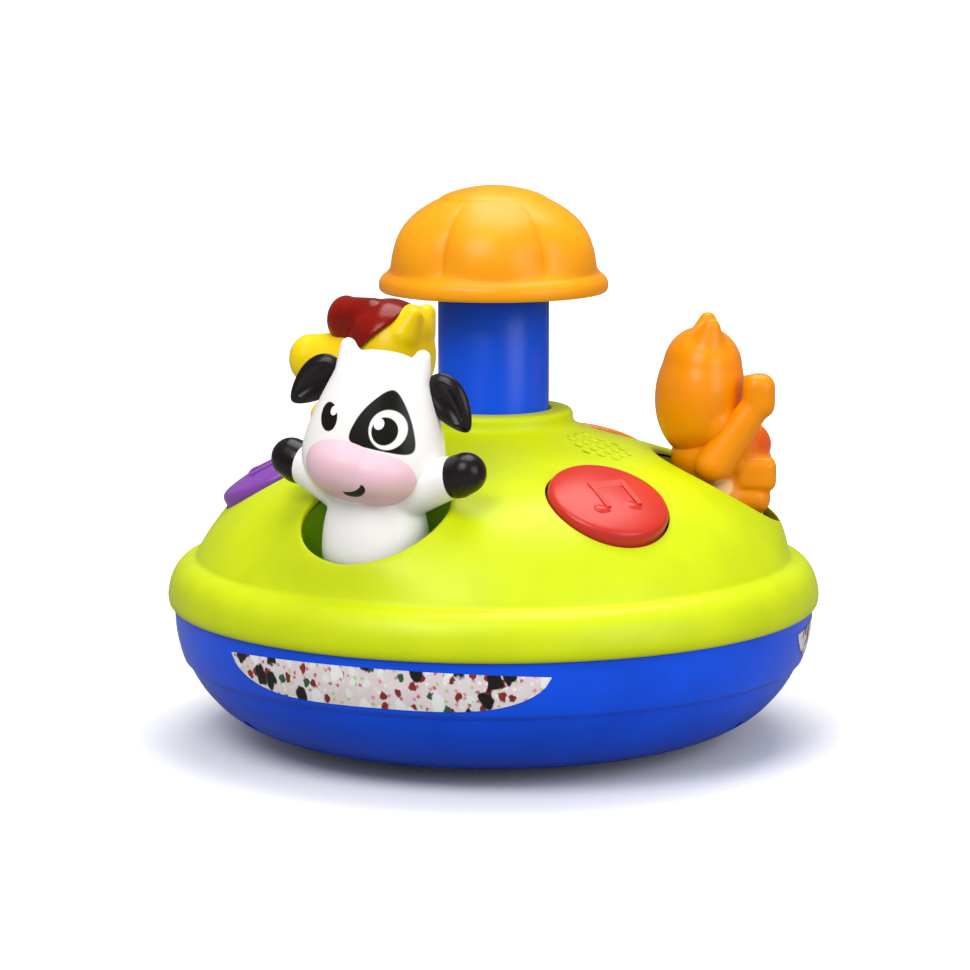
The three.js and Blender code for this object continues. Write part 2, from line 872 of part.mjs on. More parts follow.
function pegPlaces() {
  return [-1, 1].map((side) => ({
    x: side * (boardLength * half - pegInset),
    y: -boardPlace - side * (boardWidth * half - pegInset),
  }));
}

// Mechanism on the foot
function makeFootPlate() {
  const plate = turned([
    at(0, footLow), at(gripInner - seatGap, footLow), at(gripInner - seatGap, footLow + gripGroove),
    at(gripOuter + seatGap, footLow + gripGroove), at(gripOuter + seatGap, footLow),
    at(footRadius, footLow), at(footRadius, footTop), at(footBossRadius, footTop),
    at(footBossRadius, footBossTop), at(0, footBossTop),
  ], midSteps);
  const socket = disc(spindleRadius + seatGap, socketLow, footBossTop + cutOverrun, midSteps);
  const hole = disc(footScrewRadius + seatGap, 0, footBossTop, smallSteps);
  const head = disc(footScrewHead + seatGap, 0, footLow + footScrewHeadHeight * half, smallSteps);
  return plate.subtract(socket).subtract(hole).subtract(head);
}

function makeGrip() {
  return ring(gripInner, gripOuter, 0, footLow + gripGroove - seatGap, midSteps);
}

function makeSpindle() {
  const low = socketLow + seatGap;
  const grooveLow = hubTop + seatGap * half;
  const grooveHigh = grooveLow + clipThickness + seatGap * 2;
  const neck = spindleRadius - clipGrooveDepth;
  const outside = turned([
    at(0, low), at(spindleRadius, low), at(spindleRadius, grooveLow), at(neck, grooveLow),
    at(neck, grooveHigh), at(spindleRadius, grooveHigh), at(spindleRadius, spindleTop), at(0, spindleTop),
  ], midSteps);
  const bore = bar(guideBoreHalf, guideBoreHalf, guideBoreLow, spindleTop + cutOverrun);
  const pilot = disc(footScrewRadius + seatGap, 0, low + footScrewLength, smallSteps);
  return outside.subtract(bore).subtract(pilot);
}

function makeFootScrew() {
  const headTop = footLow + footScrewHeadHeight * half - seatGap;
  const headLow = headTop - footScrewHeadHeight * half;
  const head = disc(footScrewHead, headLow, headTop, smallSteps);
  const shank = disc(footScrewRadius, headLow, headTop + footScrewLength, smallSteps);
  return head.add(shank);
}

function makeClip() {
  const low = hubTop + seatGap;
  const inner = spindleRadius - clipGrooveDepth + seatGap;
  const whole = ring(inner, clipRadius, low, low + clipThickness, midSteps);
  const mouth = block(new THREE.Vector3(0, -clipMouth * half, low - cutOverrun),
    new THREE.Vector3(clipRadius + cutOverrun, clipMouth * half, low + clipThickness + cutOverrun));
  return whole.subtract(mouth);
}

function makeThrustWasher() {
  const low = footBossTop + seatGap;
  return ring(bearingRadius + seatGap, washerRadius, low, low + washerThickness, midSteps);
}

function twistAt(height) {
  const turnedLength = THREE.MathUtils.clamp(height, twistLow, twistHigh) - twistLow;
  return 2 * Math.PI * turnedLength / twistPitch;
}

function twistedBar(halfWidth, halfThickness, low, high) {
  const outline = new THREE.Shape([
    at(-halfWidth, -halfThickness), at(halfWidth, -halfThickness),
    at(halfWidth, halfThickness), at(-halfWidth, halfThickness),
  ]);
  const steps = Math.ceil((high - low) / stripStep);
  const geometry = new THREE.ExtrudeGeometry(outline, { depth: high - low, steps, bevelEnabled: false });
  geometry.translate(0, 0, low);
  const upright = new THREE.Vector3(0, 0, 1);
  reshape(geometry, (place) => place.applyAxisAngle(upright, twistAt(place.z)));
  return solid(geometry);
}

function makeRod() {
  const headLow = postSeatHeight - seatGap - headBlockHeight;
  const halfWidth = stripWidth * half;
  const halfThickness = stripThickness * half;
  const strip = twistedBar(halfWidth, halfThickness, twistLow - stripStep, twistHigh + stripStep);
  const tail = bar(halfWidth, halfThickness, guideBlockLow, twistLow);
  const neck = solidMoved(bar(halfWidth, halfThickness, twistHigh, headLow + cutOverrun),
    new THREE.Matrix4().makeRotationZ(twistAt(twistHigh)));
  const guide = bar(guideBlockHalf, guideBlockHalf, guideBlockLow, guideBlockLow + guideBlockHeight);
  const head = bar(guideBlockHalf, guideBlockHalf, headLow, headLow + headBlockHeight);
  const pilot = disc(rodScrewRadius, headLow + cutOverrun, postSeatHeight, smallSteps);
  return joined([strip, tail, neck, guide, head]).subtract(pilot);
}

// One saw tooth: a box bent round the axis, with its top face ramped
function sawTooth(index, base, rise) {
  const geometry = new THREE.BoxGeometry(1, 1, 1);
  const span = 2 * Math.PI / toothCount;
  reshape(geometry, (place) => {
    const radius = place.x > 0 ? toothOuter : toothInner;
    const along = place.y + half;
    const angle = (index + along) * span;
    const tip = place.z > 0 ? base + rise * along : base - rise * half;
    place.set(radius * Math.cos(angle), radius * Math.sin(angle), tip);
  });
  if (rise < 0) geometry.index.array.reverse();
  return solid(geometry);
}

function teeth(base, rise) {
  const all = [];
  for (let index = 0; index < toothCount; index += 1) all.push(sawTooth(index, base, rise));
  return joined(all);
}

function makeRatchetPlate() {
  const low = plateTop - plateThickness;
  const flange = ring(bearingRadius, collarTubeRadius, low, collarTubeLow - seatGap, midSteps);
  const spigot = ring(bearingRadius, collarBore - seatGap, low, plateTop, midSteps);
  return flange.add(spigot).add(teeth(plateTop, toothHeight));
}

function makeNut() {
  const flange = disc(nutRadius, nutLow, nutTop, midSteps);
  const collar = disc(nutCollarRadius, nutLow, nutCollarTop, midSteps);
  const slot = twistedBar(stripWidth * half + slotGap, stripThickness * half + slotGap,
    nutLow - cutOverrun, nutCollarTop + cutOverrun);
  return flange.add(collar).add(teeth(nutLow, -toothHeight)).subtract(slot);
}

function makeSpringWasher() {
  return ring(springWasherInner, springWasherOuter, springWasherLow, springWasherTop, midSteps);
}

class Helix extends THREE.Curve {
  constructor(radius, low, high, turns) {
    super();
    this.values = { radius, low, high, turns };
  }

  getPoint(share, target = new THREE.Vector3()) {
    const { radius, low, high, turns } = this.values;
    const angle = 2 * Math.PI * turns * share;
    return target.set(radius * Math.cos(angle), radius * Math.sin(angle), low + (high - low) * share);
  }
}

function coil(radius, wire, low, high, turns) {
  const section = [];
  for (let side = 0; side < springSides; side += 1) {
    const angle = 2 * Math.PI * side / springSides;
    section.push(at(wire * half * Math.cos(angle), wire * half * Math.sin(angle)));
  }
  const path = new Helix(radius, low + wire * half, high - wire * half, turns);
  const steps = Math.round(turns * springStepsPerTurn);
  const geometry = new THREE.ExtrudeGeometry(new THREE.Shape(section),
    { steps, extrudePath: path, bevelEnabled: false });
  return solid(geometry);
}

function makePost() {
  const inner = postRadius - postWall;
  const tube = ring(inner, postRadius, postLow, postTop, midSteps);
  const webRadius = postRadius - postWall * half;
  const seatTop = postSeatHeight + postSeatThickness;
  const top = disc(webRadius, postTop - postTopThickness, postTop, midSteps);
  const seat = disc(webRadius, postSeatHeight, seatTop, midSteps);
  const rodHole = disc(rodScrewRadius + seatGap, 0, seatTop + cutOverrun, smallSteps);
  const under = postTop - postTopThickness - cutOverrun;
  const vent = disc(knobScrewPlace - knobScrewHead, under, postTop + cutOverrun, smallSteps);
  const holes = knobScrewPlaces().map((x) =>
    moved(disc(knobScrewRadius + seatGap, under, postTop + cutOverrun, smallSteps), x, 0, 0));
  return tube.add(top).add(seat).subtract(joined([rodHole, vent, ...holes]));
}

function makeRodScrew() {
  const seatTop = postSeatHeight + postSeatThickness + seatGap;
  const head = disc(rodScrewHead, seatTop, seatTop + washerThickness * 2, smallSteps);
  const shankLow = postSeatHeight - headBlockHeight * half;
  const shank = disc(rodScrewRadius - seatGap, shankLow, seatTop + washerThickness, smallSteps);
  return head.add(shank);
}

function knobScrewPlaces() {
  return [-knobScrewPlace, knobScrewPlace];
}

function makeKnobScrew(x) {
  const seat = knobBaseTop + seatGap;
  const head = disc(knobScrewHead, seat, seat + washerThickness * 2, smallSteps);
  const shank = disc(knobScrewRadius, postTop - postTopThickness, seat + washerThickness, smallSteps);
  return moved(head.add(shank), x, 0, 0);
}

// Knob: base disc with a socket round the post, let into the beaded rim of a lobed cap
const knobBaseLow = knobRimLow + seatGap;
const knobBaseTop = knobBaseLow + knobBaseThickness;
const knobLedge = knobBaseTop + seatGap;
const knobRimTop = knobRimLow + knobRimHeight;
const knobSeamRadius = knobRimRadius - knobWall;

function makeKnobBase() {
  const socket = postRadius + seatGap;
  const lip = knobBaseLow - knobBaseLip;
  const edge = knobSeamRadius - seatGap;
  const base = turned([
    at(0, knobBaseLow), at(socket, knobBaseLow), at(socket, lip),
    at(socket + knobWall, lip), at(socket + knobWall, knobBaseLow), at(edge, knobBaseLow),
    at(edge, knobBaseTop), at(0, knobBaseTop),
  ], knobSteps);
  const holes = knobScrewPlaces().map((x) =>
    moved(disc(knobScrewRadius + seatGap, postTop, knobBaseTop + cutOverrun, smallSteps), x, 0, 0));
  return base.subtract(joined(holes));
}

function knobSkin() {
  const rim = new THREE.CubicBezierCurve(
    at(knobRimRadius - knobRimRound, knobRimLow),
    at(knobRimRadius + knobRimRound * half, knobRimLow + knobRimRound),
    at(knobRimRadius + knobRimRound * half, knobRimTop - knobRimRound),
    at(knobWaistRadius, knobRimTop));
  const side = new THREE.CubicBezierCurve(
    at(knobWaistRadius, knobRimTop),
    at(knobWaistRadius, knobRimTop + knobShoulderLift),
    at(knobCrownRadius + (knobWaistRadius - knobCrownRadius) * knobSideShare, knobTop - knobCrownDrop),
    at(knobCrownRadius, knobTop - knobCrownDrop));
  const crown = new THREE.QuadraticBezierCurve(
    at(knobCrownRadius - knobCrownStep, knobTop - knobCrownDrop + knobCrownStep),
    at(knobCrownRadius * knobTopShare, knobTop),
    at(0, knobTop));
  const edge = rim.getPoints(roundSteps + 1);
  return [...edge, ...side.getPoints(curveSteps).slice(1), ...crown.getPoints(roundSteps)];
}

// Grooves run up the side between the lobes and fade out at the rim and at the crown
function groove(place) {
  const high = knobTop - knobCrownDrop;
  const rise = THREE.MathUtils.clamp((place.z - knobRimTop) / (high - knobRimTop), 0, 1);
  const fade = Math.sin(Math.PI * Math.sqrt(rise));
  const radius = Math.hypot(place.x, place.y);
  if (fade <= 0 || radius < knobCrownRadius * half) return;
  const angle = Math.atan2(place.x, -place.y);
  const lobe = Math.abs(Math.cos(angle * knobLobes * half)) ** knobGrooveSharpness;
  const pull = 1 - knobGroove * fade * (1 - lobe) / radius;
  place.x *= pull;
  place.y *= pull;
}

function makeKnobCap() {
  const skin = knobSkin();
  const lining = inset(skin, knobWall).filter((point) => point.y < knobTop - knobCrownDrop - knobWall);
  const roof = lining.filter((point) => point.y > knobRimTop && point.x < knobWaistRadius - knobWall);
  const inner = knobWaistRadius - knobWall;
  const profile = [
    ...skin,
    at(0, knobTop - knobCrownDrop - knobWall),
    ...roof.reverse(),
    at(inner, knobLedge),
    at(knobSeamRadius, knobLedge),
    at(knobSeamRadius, knobRimLow),
    at(knobRimRadius - knobRimRound, knobRimLow),
  ];
  return turned(profile, knobSteps, groove);
}

// Buttons
function makeButton() {
  const crown = buttonProud + buttonCrown;
  const flangeTop = -flangeSeat - seatGap;
  const flangeLow = flangeTop - flangeThickness;
  const rounding = buttonWall * half;
  const dome = new THREE.QuadraticBezierCurve(
    at(buttonRadius - rounding, buttonProud + rounding * half),
    at(buttonRadius * half, crown), at(0, crown));
  const inner = buttonRadius - buttonWall;
  const cap = turned([
    at(inner, flangeLow), at(guideRadius - seatGap, flangeLow), at(guideRadius - seatGap, flangeTop),
    at(buttonRadius, flangeTop), at(buttonRadius, buttonProud - rounding),
    ...dome.getPoints(roundSteps + 1),
    at(0, buttonProud - rounding), at(inner, buttonProud - rounding), at(inner, flangeLow),
  ], midSteps);
  const stemLow = buttonBoardTop + switchHeight + buttonTravel + seatGap;
  return cap.add(disc(stemRadius, stemLow, buttonProud, holeSteps));
}

function makeButtonBoard() {
  const board = disc(guideRadius, buttonBoardTop - boardThickness, buttonBoardTop, midSteps);
  const keyLow = buttonBoardTop - boardThickness * half;
  const key = disc(switchRadius, keyLow, buttonBoardTop + switchHeight, holeSteps);
  return board.add(key);
}

function makeLamp() {
  const low = buttonBoardTop + seatGap;
  const dome = new THREE.QuadraticBezierCurve(
    at(lampRadius, low + lampHeight * half), at(lampRadius, low + lampHeight), at(0, low + lampHeight));
  return moved(turned([at(0, low), at(lampRadius, low), ...dome.getPoints(roundSteps)], smallSteps),
    0, lampOffset, 0);
}

function makeSpeaker() {
  const top = -coverWall - speakerDrop;
  return turned([
    at(0, top - speakerDepth), at(magnetRadius, top - speakerDepth),
    at(magnetRadius, top - speakerDepth + magnetDepth), at(speakerRadius, top - coverWall),
    at(speakerRadius, top), at(speakerRadius - coverWall, top),
    at(magnetRadius * half, top - coverWall), at(0, top - coverWall * half),
  ], midSteps);
}

// Electronics in the bowl
function makeCircuitBoard() {
  const top = boardLift + boardThickness;
  const board = bar(boardLength * half, boardWidth * half, boardLift, top);
  const chip = bar(chipHalf, chipHalf, boardLift + boardThickness * half, top + boardThickness);
  const holes = pegPlaces().map((peg) =>
    moved(disc(pegRadius + seatGap, boardLift - cutOverrun, top + cutOverrun, holeSteps), peg.x, peg.y, 0));
  return moved(board.add(chip), 0, -boardPlace, 0).subtract(joined(holes));
}

function makeBattery(side) {
  const geometry = new THREE.LatheGeometry([
    at(0, -batteryLength * half), at(batteryRadius, -batteryLength * half),
    at(batteryRadius, batteryLength * half), at(batteryNubRadius, batteryLength * half),
    at(batteryNubRadius, batteryLength * half + batteryNub), at(0, batteryLength * half + batteryNub),
  ], smallSteps);
  if (side < 0) geometry.rotateX(Math.PI);
  geometry.translate(side * (batteryRadius + batterySpace * half), 0, batteryHeight);
  return solid(geometry);
}

function makeContact(side) {
  const wide = side > 0 ? batteryRadius + batterySpace * half + contactWidth * half : 0;
  const outer = side * (boxHalfLength - seatGap);
  const plate = block(
    new THREE.Vector3(side > 0 ? -wide : 0, Math.min(outer, outer - side * contactThickness),
      batteryHeight - contactWidth * half),
    new THREE.Vector3(side > 0 ? wide : contactWidth, Math.max(outer, outer - side * contactThickness),
      batteryHeight + contactWidth * half));
  return plate;
}

function makeSwitchBody() {
  const low = bowlLow + bowlWall + seatGap;
  const body = bar(switchBodyWidth * half, switchBodyLength * half, low, low + switchBodyHeight);
  const slot = bar(sliderWidth * half + turnGap, (sliderLength + sliderTravel) * half + turnGap,
    low - cutOverrun, low + switchBodyHeight * half + turnGap);
  return moved(body.subtract(slot), switchPlace, 0, 0);
}

function makeSlider() {
  const low = bowlLow + sliderInset;
  const slider = bar(sliderWidth * half, sliderLength * half, low, low + sliderHeight - turnGap);
  return moved(slider, switchPlace, -sliderTravel * half, 0);
}

function makeCaseScrew() {
  const headTop = bossMeet - bossWeb - seatGap;
  const head = disc(screwHeadRadius, headTop - screwHeadHeight, headTop, smallSteps);
  const shank = disc(screwRadius, headTop - screwHeadHeight * half, headTop + screwLength, holeSteps);
  return head.add(shank);
}

// Figures, each in its own frame: +X faces out of the toy, +Y to its left
function figureBody(grow) {
  const side = bodyHalf + grow;
  const low = bodyLow - grow;
  const top = shoulderTop + grow;
  const foot = new THREE.QuadraticBezierCurve(
    at(side - bodyRound, low), at(side, low), at(side, low + bodyRound));
  const shoulder = new THREE.QuadraticBezierCurve(
    at(side, shoulderLow),
    at(side, shoulderLow + (top - shoulderLow) * shoulderShare),
    at(neckRadius + grow, top));
  const profile = [
    at(0, low), ...foot.getPoints(roundSteps), ...shoulder.getPoints(roundSteps + 1), at(0, top),
  ];
  return turned(profile, bodySteps, (place) => {
    place.x *= bodyDepthShare;
  });
}

function figureTongue() {
  const low = pivotHeight;
  const leg = bar(tongueDepth * half, tongueWidth * half, low, bodyLow + bodyRound);
  const eye = crossPin(tongueWidth * half, tongueDepth * half, pivotHeight, smallSteps);
  const bore = crossPin(pinRadius + seatGap, tongueDepth, pivotHeight, holeSteps);
  return leg.add(eye).subtract(bore);
}

function raisedArms(grow, reach, lift, size) {
  return joined([-1, 1].map((side) => {
    const root = new THREE.Vector3(0, side * armRoot, armRootLift);
    const wrist = new THREE.Vector3(0, side * reach, lift);
    const paw = ball(size + grow, size + grow, size + grow, 0, side * reach, lift, smallSteps, holeSteps);
    return limb(Math.min(armRadius, size) + grow, root, wrist, limbSteps).add(paw);
  }));
}

function cowBodyShape(grow) {
  return figureBody(grow).add(raisedArms(grow, pawReach, pawLift, pawRadius));
}

function horseBodyShape(grow) {
  return figureBody(grow).add(raisedArms(grow, horseArmReach, armRootLift + horseArmRise, horsePawRadius));
}

// A head is turned towards its side and leans over about the neck
function headMatrix(turn, lean) {
  const matrix = new THREE.Matrix4().makeRotationZ(radians(turn));
  matrix.multiply(new THREE.Matrix4().makeTranslation(0, 0, shoulderTop));
  matrix.multiply(new THREE.Matrix4().makeRotationX(-radians(lean)));
  return matrix.multiply(new THREE.Matrix4().makeTranslation(0, 0, -shoulderTop));
}

function cowHeadShape(grow) {
  const skull = ball(cowHeadDepth + grow, cowHeadWidth + grow, cowHeadHeight + grow,
    0, 0, cowHeadLift);
  const cheeks = ball(cowCheekDepth + grow, cowCheekWidth + grow, cowCheekHeight + grow,
    0, 0, cowCheekLift);
  return skull.add(cheeks);
}

function cowHorns(grow) {
  return joined([-1, 1].map((side) =>
    ball(cowHornRadius + grow, cowHornRadius + grow, cowHornHeight + grow,
      0, side * cowHornPlace, cowHornLift, limbSteps, holeSteps)));
}

function makeCowHead() {
  const head = cowHeadShape(0).add(cowHorns(0));
  return solidMoved(head, headMatrix(cowHeadTurn, cowHeadLean)).subtract(cowBodyShape(seatGap));
}

function makeCowMuzzle() {
  const muzzle = ball(cowMuzzleDepth, cowMuzzleWidth, cowMuzzleHeight, cowMuzzleAhead, 0, cowMuzzleLift);
  const trimmed = solidMoved(muzzle.subtract(cowHeadShape(seatGap)), headMatrix(cowHeadTurn, cowHeadLean));
  return keepLargest(trimmed.subtract(cowBodyShape(seatGap)));
}

function makeCowEar(side) {
  const leaf = ball(cowEarDepth, cowEarLength, cowEarHeight, 0, 0, 0, smallSteps, holeSteps);
  const matrix = new THREE.Matrix4().makeTranslation(0, side * cowEarPlace, cowEarLift);
  matrix.multiply(new THREE.Matrix4().makeRotationX(-side * radians(cowEarDroop)));
  const room = cowHeadShape(seatGap).add(cowHorns(seatGap));
  const ear = keepLargest(solidMoved(leaf, matrix).subtract(room));
  return solidMoved(ear, headMatrix(cowHeadTurn, cowHeadLean));
}

function catHeadShape(grow) {
  return ball(catHeadDepth + grow, catHeadWidth + grow, catHeadHeight + grow, catHeadSet, 0, catHeadLift);
}

function catBodyShape(grow) {
  const parts = [figureBody(grow)];
  for (const side of [-1, 1]) {
    const shoulder = new THREE.Vector3(0, side * armRoot, armRootLift);
    const elbow = new THREE.Vector3(catElbowAhead, side * catElbowPlace, catElbowLift);
    const paw = new THREE.Vector3(catPawAhead, side * catPawPlace, catPawLift);
    parts.push(limb(armRadius + grow, shoulder, elbow, limbSteps));
    parts.push(limb(catPawRadius + grow, elbow, paw, limbSteps));
    const heel = new THREE.Vector3(catFootAhead - catFootLength, side * catFootPlace, catFootLift);
    const toe = new THREE.Vector3(catFootAhead, side * catFootPlace, catFootLift);
    parts.push(limb(catFootRadius + grow, heel, toe, limbSteps));
  }
  return joined(parts);
}

function makeCatHead() {
  const ears = [-1, 1].map((side) =>
    ball(catEarRadius * half, catEarRadius, catEarHeight, catEarSet, side * catEarPlace, catEarLift,
      limbSteps, holeSteps));
  return catHeadShape(0).add(joined(ears)).subtract(catBodyShape(seatGap));
}

function makeCatMuzzle() {
  const muzzle = ball(catMuzzleDepth, catMuzzleWidth, catMuzzleHeight, catMuzzleAhead, 0, catMuzzleLift,
    smallSteps, holeSteps);
  return keepLargest(muzzle.subtract(catHeadShape(seatGap)).subtract(catBodyShape(seatGap)));
}

// Limb that tapers from one round end to the other
function taperedLimb(from, fromRadius, to, toRadius) {
  const ends = [[from, fromRadius], [to, toRadius]].map(([place, radius]) =>
    ball(radius, radius, radius, place.x, place.y, place.z, smallSteps, holeSteps));
  return wasm.Manifold.hull(ends);
}

function horseHeadShape(grow) {
  const skull = ball(horseHeadDepth + grow, horseHeadWidth + grow, horseHeadHeight + grow,
    horseHeadSet, 0, horseHeadLift);
  const snout = taperedLimb(
    new THREE.Vector3(horseSnoutRoot, 0, horseSnoutLift), horseSnoutRootRadius + grow,
    new THREE.Vector3(horseSnoutTip, 0, horseSnoutLift), horseSnoutTipRadius + grow);
  const ears = [-1, 1].map((side) =>
    ball(horseEarRadius * half + grow, horseEarRadius + grow, horseEarHeight + grow,
      horseEarSet, side * horseEarPlace, horseEarLift, limbSteps, holeSteps));
  const neck = disc(neckRadius + grow, shoulderTop - neckRadius, horseHeadLift, limbSteps);
  return joined([skull, snout, neck, ...ears]);
}

function makeHorseHead() {
  return solidMoved(horseHeadShape(0), headMatrix(horseHeadTurn, 0)).subtract(horseBodyShape(seatGap));
}

function makeMane() {
  const lock = taperedLimb(
    new THREE.Vector3(maneForelockAhead, 0, maneForelockLift), maneForelockRadius,
    new THREE.Vector3(maneNapeAhead, 0, maneNapeLift), maneNapeRadius);
  const mane = keepLargest(lock.subtract(horseHeadShape(seatGap)));
  return solidMoved(mane, headMatrix(horseHeadTurn, 0));
}

function makePivotPin() {
  return crossPin(pinRadius, earInner + earThickness, pivotHeight, holeSteps);
}

function makeCentringSpring() {
  const inner = tongueDepth * half + seatGap;
  const wire = (earInner - inner) * half * half;
  const shape = coil(pinRadius + turnGap + wire, wire, inner, earInner - seatGap, 2);
  const matrix = new THREE.Matrix4().makeTranslation(0, 0, pivotHeight);
  matrix.multiply(new THREE.Matrix4().makeRotationY(Math.PI / 2));
  return solidMoved(shape, matrix);
}

function stationGroup(angle, radius, height, tilt, pieces) {
  const group = new THREE.Group();
  group.applyMatrix4(stationMatrix(angle, radius, height, tilt));
  group.add(...pieces);
  return group;
}

const toy = new THREE.Group();

toy.add(
  named("foot_plate", makeFootPlate(), finishes.blue),
  named("anti_slip_ring", makeGrip(), finishes.rubber),
  named("spindle", makeSpindle(), finishes.acetal),
  named("spindle_screw", makeFootScrew(), finishes.steel),
  named("thrust_washer", makeThrustWasher(), finishes.acetal),
  named("retaining_clip", makeClip(), finishes.steel),
  named("drive_nut", makeNut(), finishes.acetal),
  named("spring_washer", makeSpringWasher(), finishes.steel),
  named("return_spring", coil(springRadius, springWire, springLow, springHigh, springTurns),
    finishes.steel),
  named("twisted_rod", makeRod(), finishes.steel),
  named("rod_screw", makeRodScrew(), finishes.steel),
  named("post_tube", makePost(), finishes.blue),
  named("knob_base", makeKnobBase(), finishes.orange),
  named("knob_cap", makeKnobCap(), finishes.orange),
  named("bowl", makeBowl(), finishes.blue),
  named("dome_cover", makeCover(), finishes.lime),
  named("figure_carrier", makeFigureCarrier(), finishes.lime),
  named("ratchet_plate", makeRatchetPlate(), finishes.acetal),
  named("circuit_board", makeCircuitBoard(), finishes.board),
  named("switch_body", makeSwitchBody(), finishes.black),
  named("switch_slider", makeSlider(), finishes.black),
);

knobScrewPlaces().forEach((x, index) => {
  toy.add(named(`knob_screw_${index + 1}`, makeKnobScrew(x), finishes.steel));
});

const batteryBay = new THREE.Group();
batteryBay.applyMatrix4(batteryBayMatrix());
batteryBay.add(
  named("battery_1", makeBattery(-1), finishes.battery),
  named("battery_2", makeBattery(1), finishes.battery),
  named("battery_link", makeContact(1), finishes.steel),
  named("battery_terminal", makeContact(-1), finishes.steel),
  named("battery_door", makeDoor(), finishes.blue),
  named("battery_door_screw", makeDoorScrew(), finishes.steel),
);
toy.add(batteryBay);

for (let index = 0; index < screwCount; index += 1) {
  toy.add(stationGroup(bossAngle(index), bossPlace, 0, 0,
    [named(`case_screw_${index + 1}`, makeCaseScrew(), finishes.steel)]));
}

toy.add(stationGroup(speakerAngle, speakerPlace, speakerSeat.height, speakerSeat.slope,
  [named("speaker", makeSpeaker(), finishes.black)]));

for (const [colour, angle] of Object.entries(buttonAngles)) {
  toy.add(stationGroup(angle, buttonPlace, buttonSeat.height, buttonSeat.slope, [
    named(`${colour}_button`, makeButton(), finishes[`${colour}Lens`]),
    named(`${colour}_button_board`, makeButtonBoard(), finishes.board),
    named(`${colour}_lamp`, makeLamp(), finishes.acetal),
  ]));
}

const figures = {
  cow: [
    named("cow_body", cowBodyShape(0).add(figureTongue()), finishes.white),
    named("cow_head", makeCowHead(), finishes.white),
    named("cow_muzzle", makeCowMuzzle(), finishes.pink),
    named("cow_left_ear", makeCowEar(-1), finishes.black),
    named("cow_right_ear", makeCowEar(1), finishes.black),
  ],
  cat: [
    named("cat_body", catBodyShape(0).add(figureTongue()), finishes.catOrange),
    named("cat_head", makeCatHead(), finishes.catOrange),
    named("cat_muzzle", makeCatMuzzle(), finishes.catOrange),
  ],
  horse: [
    named("horse_body", horseBodyShape(0).add(figureTongue()), finishes.yellow),
    named("horse_head", makeHorseHead(), finishes.yellow),
    named("horse_mane", makeMane(), finishes.mane),
  ],
};

for (const [animal, angle] of Object.entries(figureAngles)) {
  toy.add(stationGroup(angle, stationRadius, 0, 0, [
    ...figures[animal],
    named(`${animal}_pivot_pin`, makePivotPin(), finishes.steel),
    named(`${animal}_centring_spring`, makeCentringSpring(), finishes.steel),
  ]));
}

export default toy;
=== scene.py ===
"""Looks of a press-and-spin nursery toy with three rocking animal figures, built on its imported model."""

import math

import bmesh
import bpy
from mathutils import Matrix, Vector
from mathutils.geometry import interpolate_bezier


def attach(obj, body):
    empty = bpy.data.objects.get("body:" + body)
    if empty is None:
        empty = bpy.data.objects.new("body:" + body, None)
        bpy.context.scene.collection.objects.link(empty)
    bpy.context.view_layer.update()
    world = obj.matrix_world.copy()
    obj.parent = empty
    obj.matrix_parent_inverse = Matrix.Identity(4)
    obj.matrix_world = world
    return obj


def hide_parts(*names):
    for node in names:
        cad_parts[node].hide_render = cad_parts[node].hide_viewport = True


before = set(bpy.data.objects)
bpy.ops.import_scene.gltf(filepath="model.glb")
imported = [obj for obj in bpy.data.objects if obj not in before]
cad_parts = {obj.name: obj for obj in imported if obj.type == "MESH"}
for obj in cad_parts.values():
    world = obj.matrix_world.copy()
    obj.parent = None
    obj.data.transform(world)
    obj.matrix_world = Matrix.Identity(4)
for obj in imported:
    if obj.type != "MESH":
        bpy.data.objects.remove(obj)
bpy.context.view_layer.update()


# The stand: the toy is seen from its front and a little above with a long lens, on a pale paper
# sweep under wide soft lamps.
scene = bpy.context.scene
scene.view_settings.view_transform = "Standard"
camera_place = Vector((-0.003, -1.26, 0.29))
camera_aim = Vector((-0.003, 0, 0.089))
camera_data = bpy.data.cameras.new("camera")
camera_data.lens = 134
camera_data.sensor_width = 36
camera = bpy.data.objects.new("camera", camera_data)
camera.location = camera_place
camera.rotation_euler = (camera_aim - camera_place).to_track_quat("-Z", "Y").to_euler()
scene.collection.objects.link(camera)
scene.camera = camera

for lamp_name, place, width, power in (
    ("key_lamp", (-0.5, -0.95, 1.2), 0.8, 12.0),
    ("fill_lamp", (0.95, -0.85, 0.6), 0.8, 6.0),
    ("top_lamp", (0.1, 0.3, 1.25), 0.9, 11.0),
):
    lamp_data = bpy.data.lights.new(lamp_name, "AREA")
    lamp_data.size = width
    lamp_data.energy = power
    lamp = bpy.data.objects.new(lamp_name, lamp_data)
    lamp.location = place
    lamp.rotation_euler = (Vector((0, 0, 0.08)) - Vector(place)).to_track_quat("-Z", "Y").to_euler()
    scene.collection.objects.link(lamp)


def linear(code):
    """sRGB hex colour as the linear values that the shaders take."""
    parts = [int(code[place:place + 2], 16) / 255 for place in (1, 3, 5)]
    return [part / 12.92 if part <= 0.04045 else ((part + 0.055) / 1.055) ** 2.4 for part in parts] + [1]


def node(tree, kind, settings, inputs):
    """Adds a node, sets it up, and links or fills its inputs."""
    made = tree.nodes.new(kind)
    for name, value in settings.items():
        setattr(made, name, value)
    for name, value in inputs.items():
        if isinstance(value, bpy.types.NodeSocket):
            tree.links.new(value, made.inputs[name])
        else:
            made.inputs[name].default_value = value
    return made


def blank_material(name):
    material = bpy.data.materials.new(name)
    material.use_nodes = True
    material.node_tree.nodes.clear()
    return material, material.node_tree


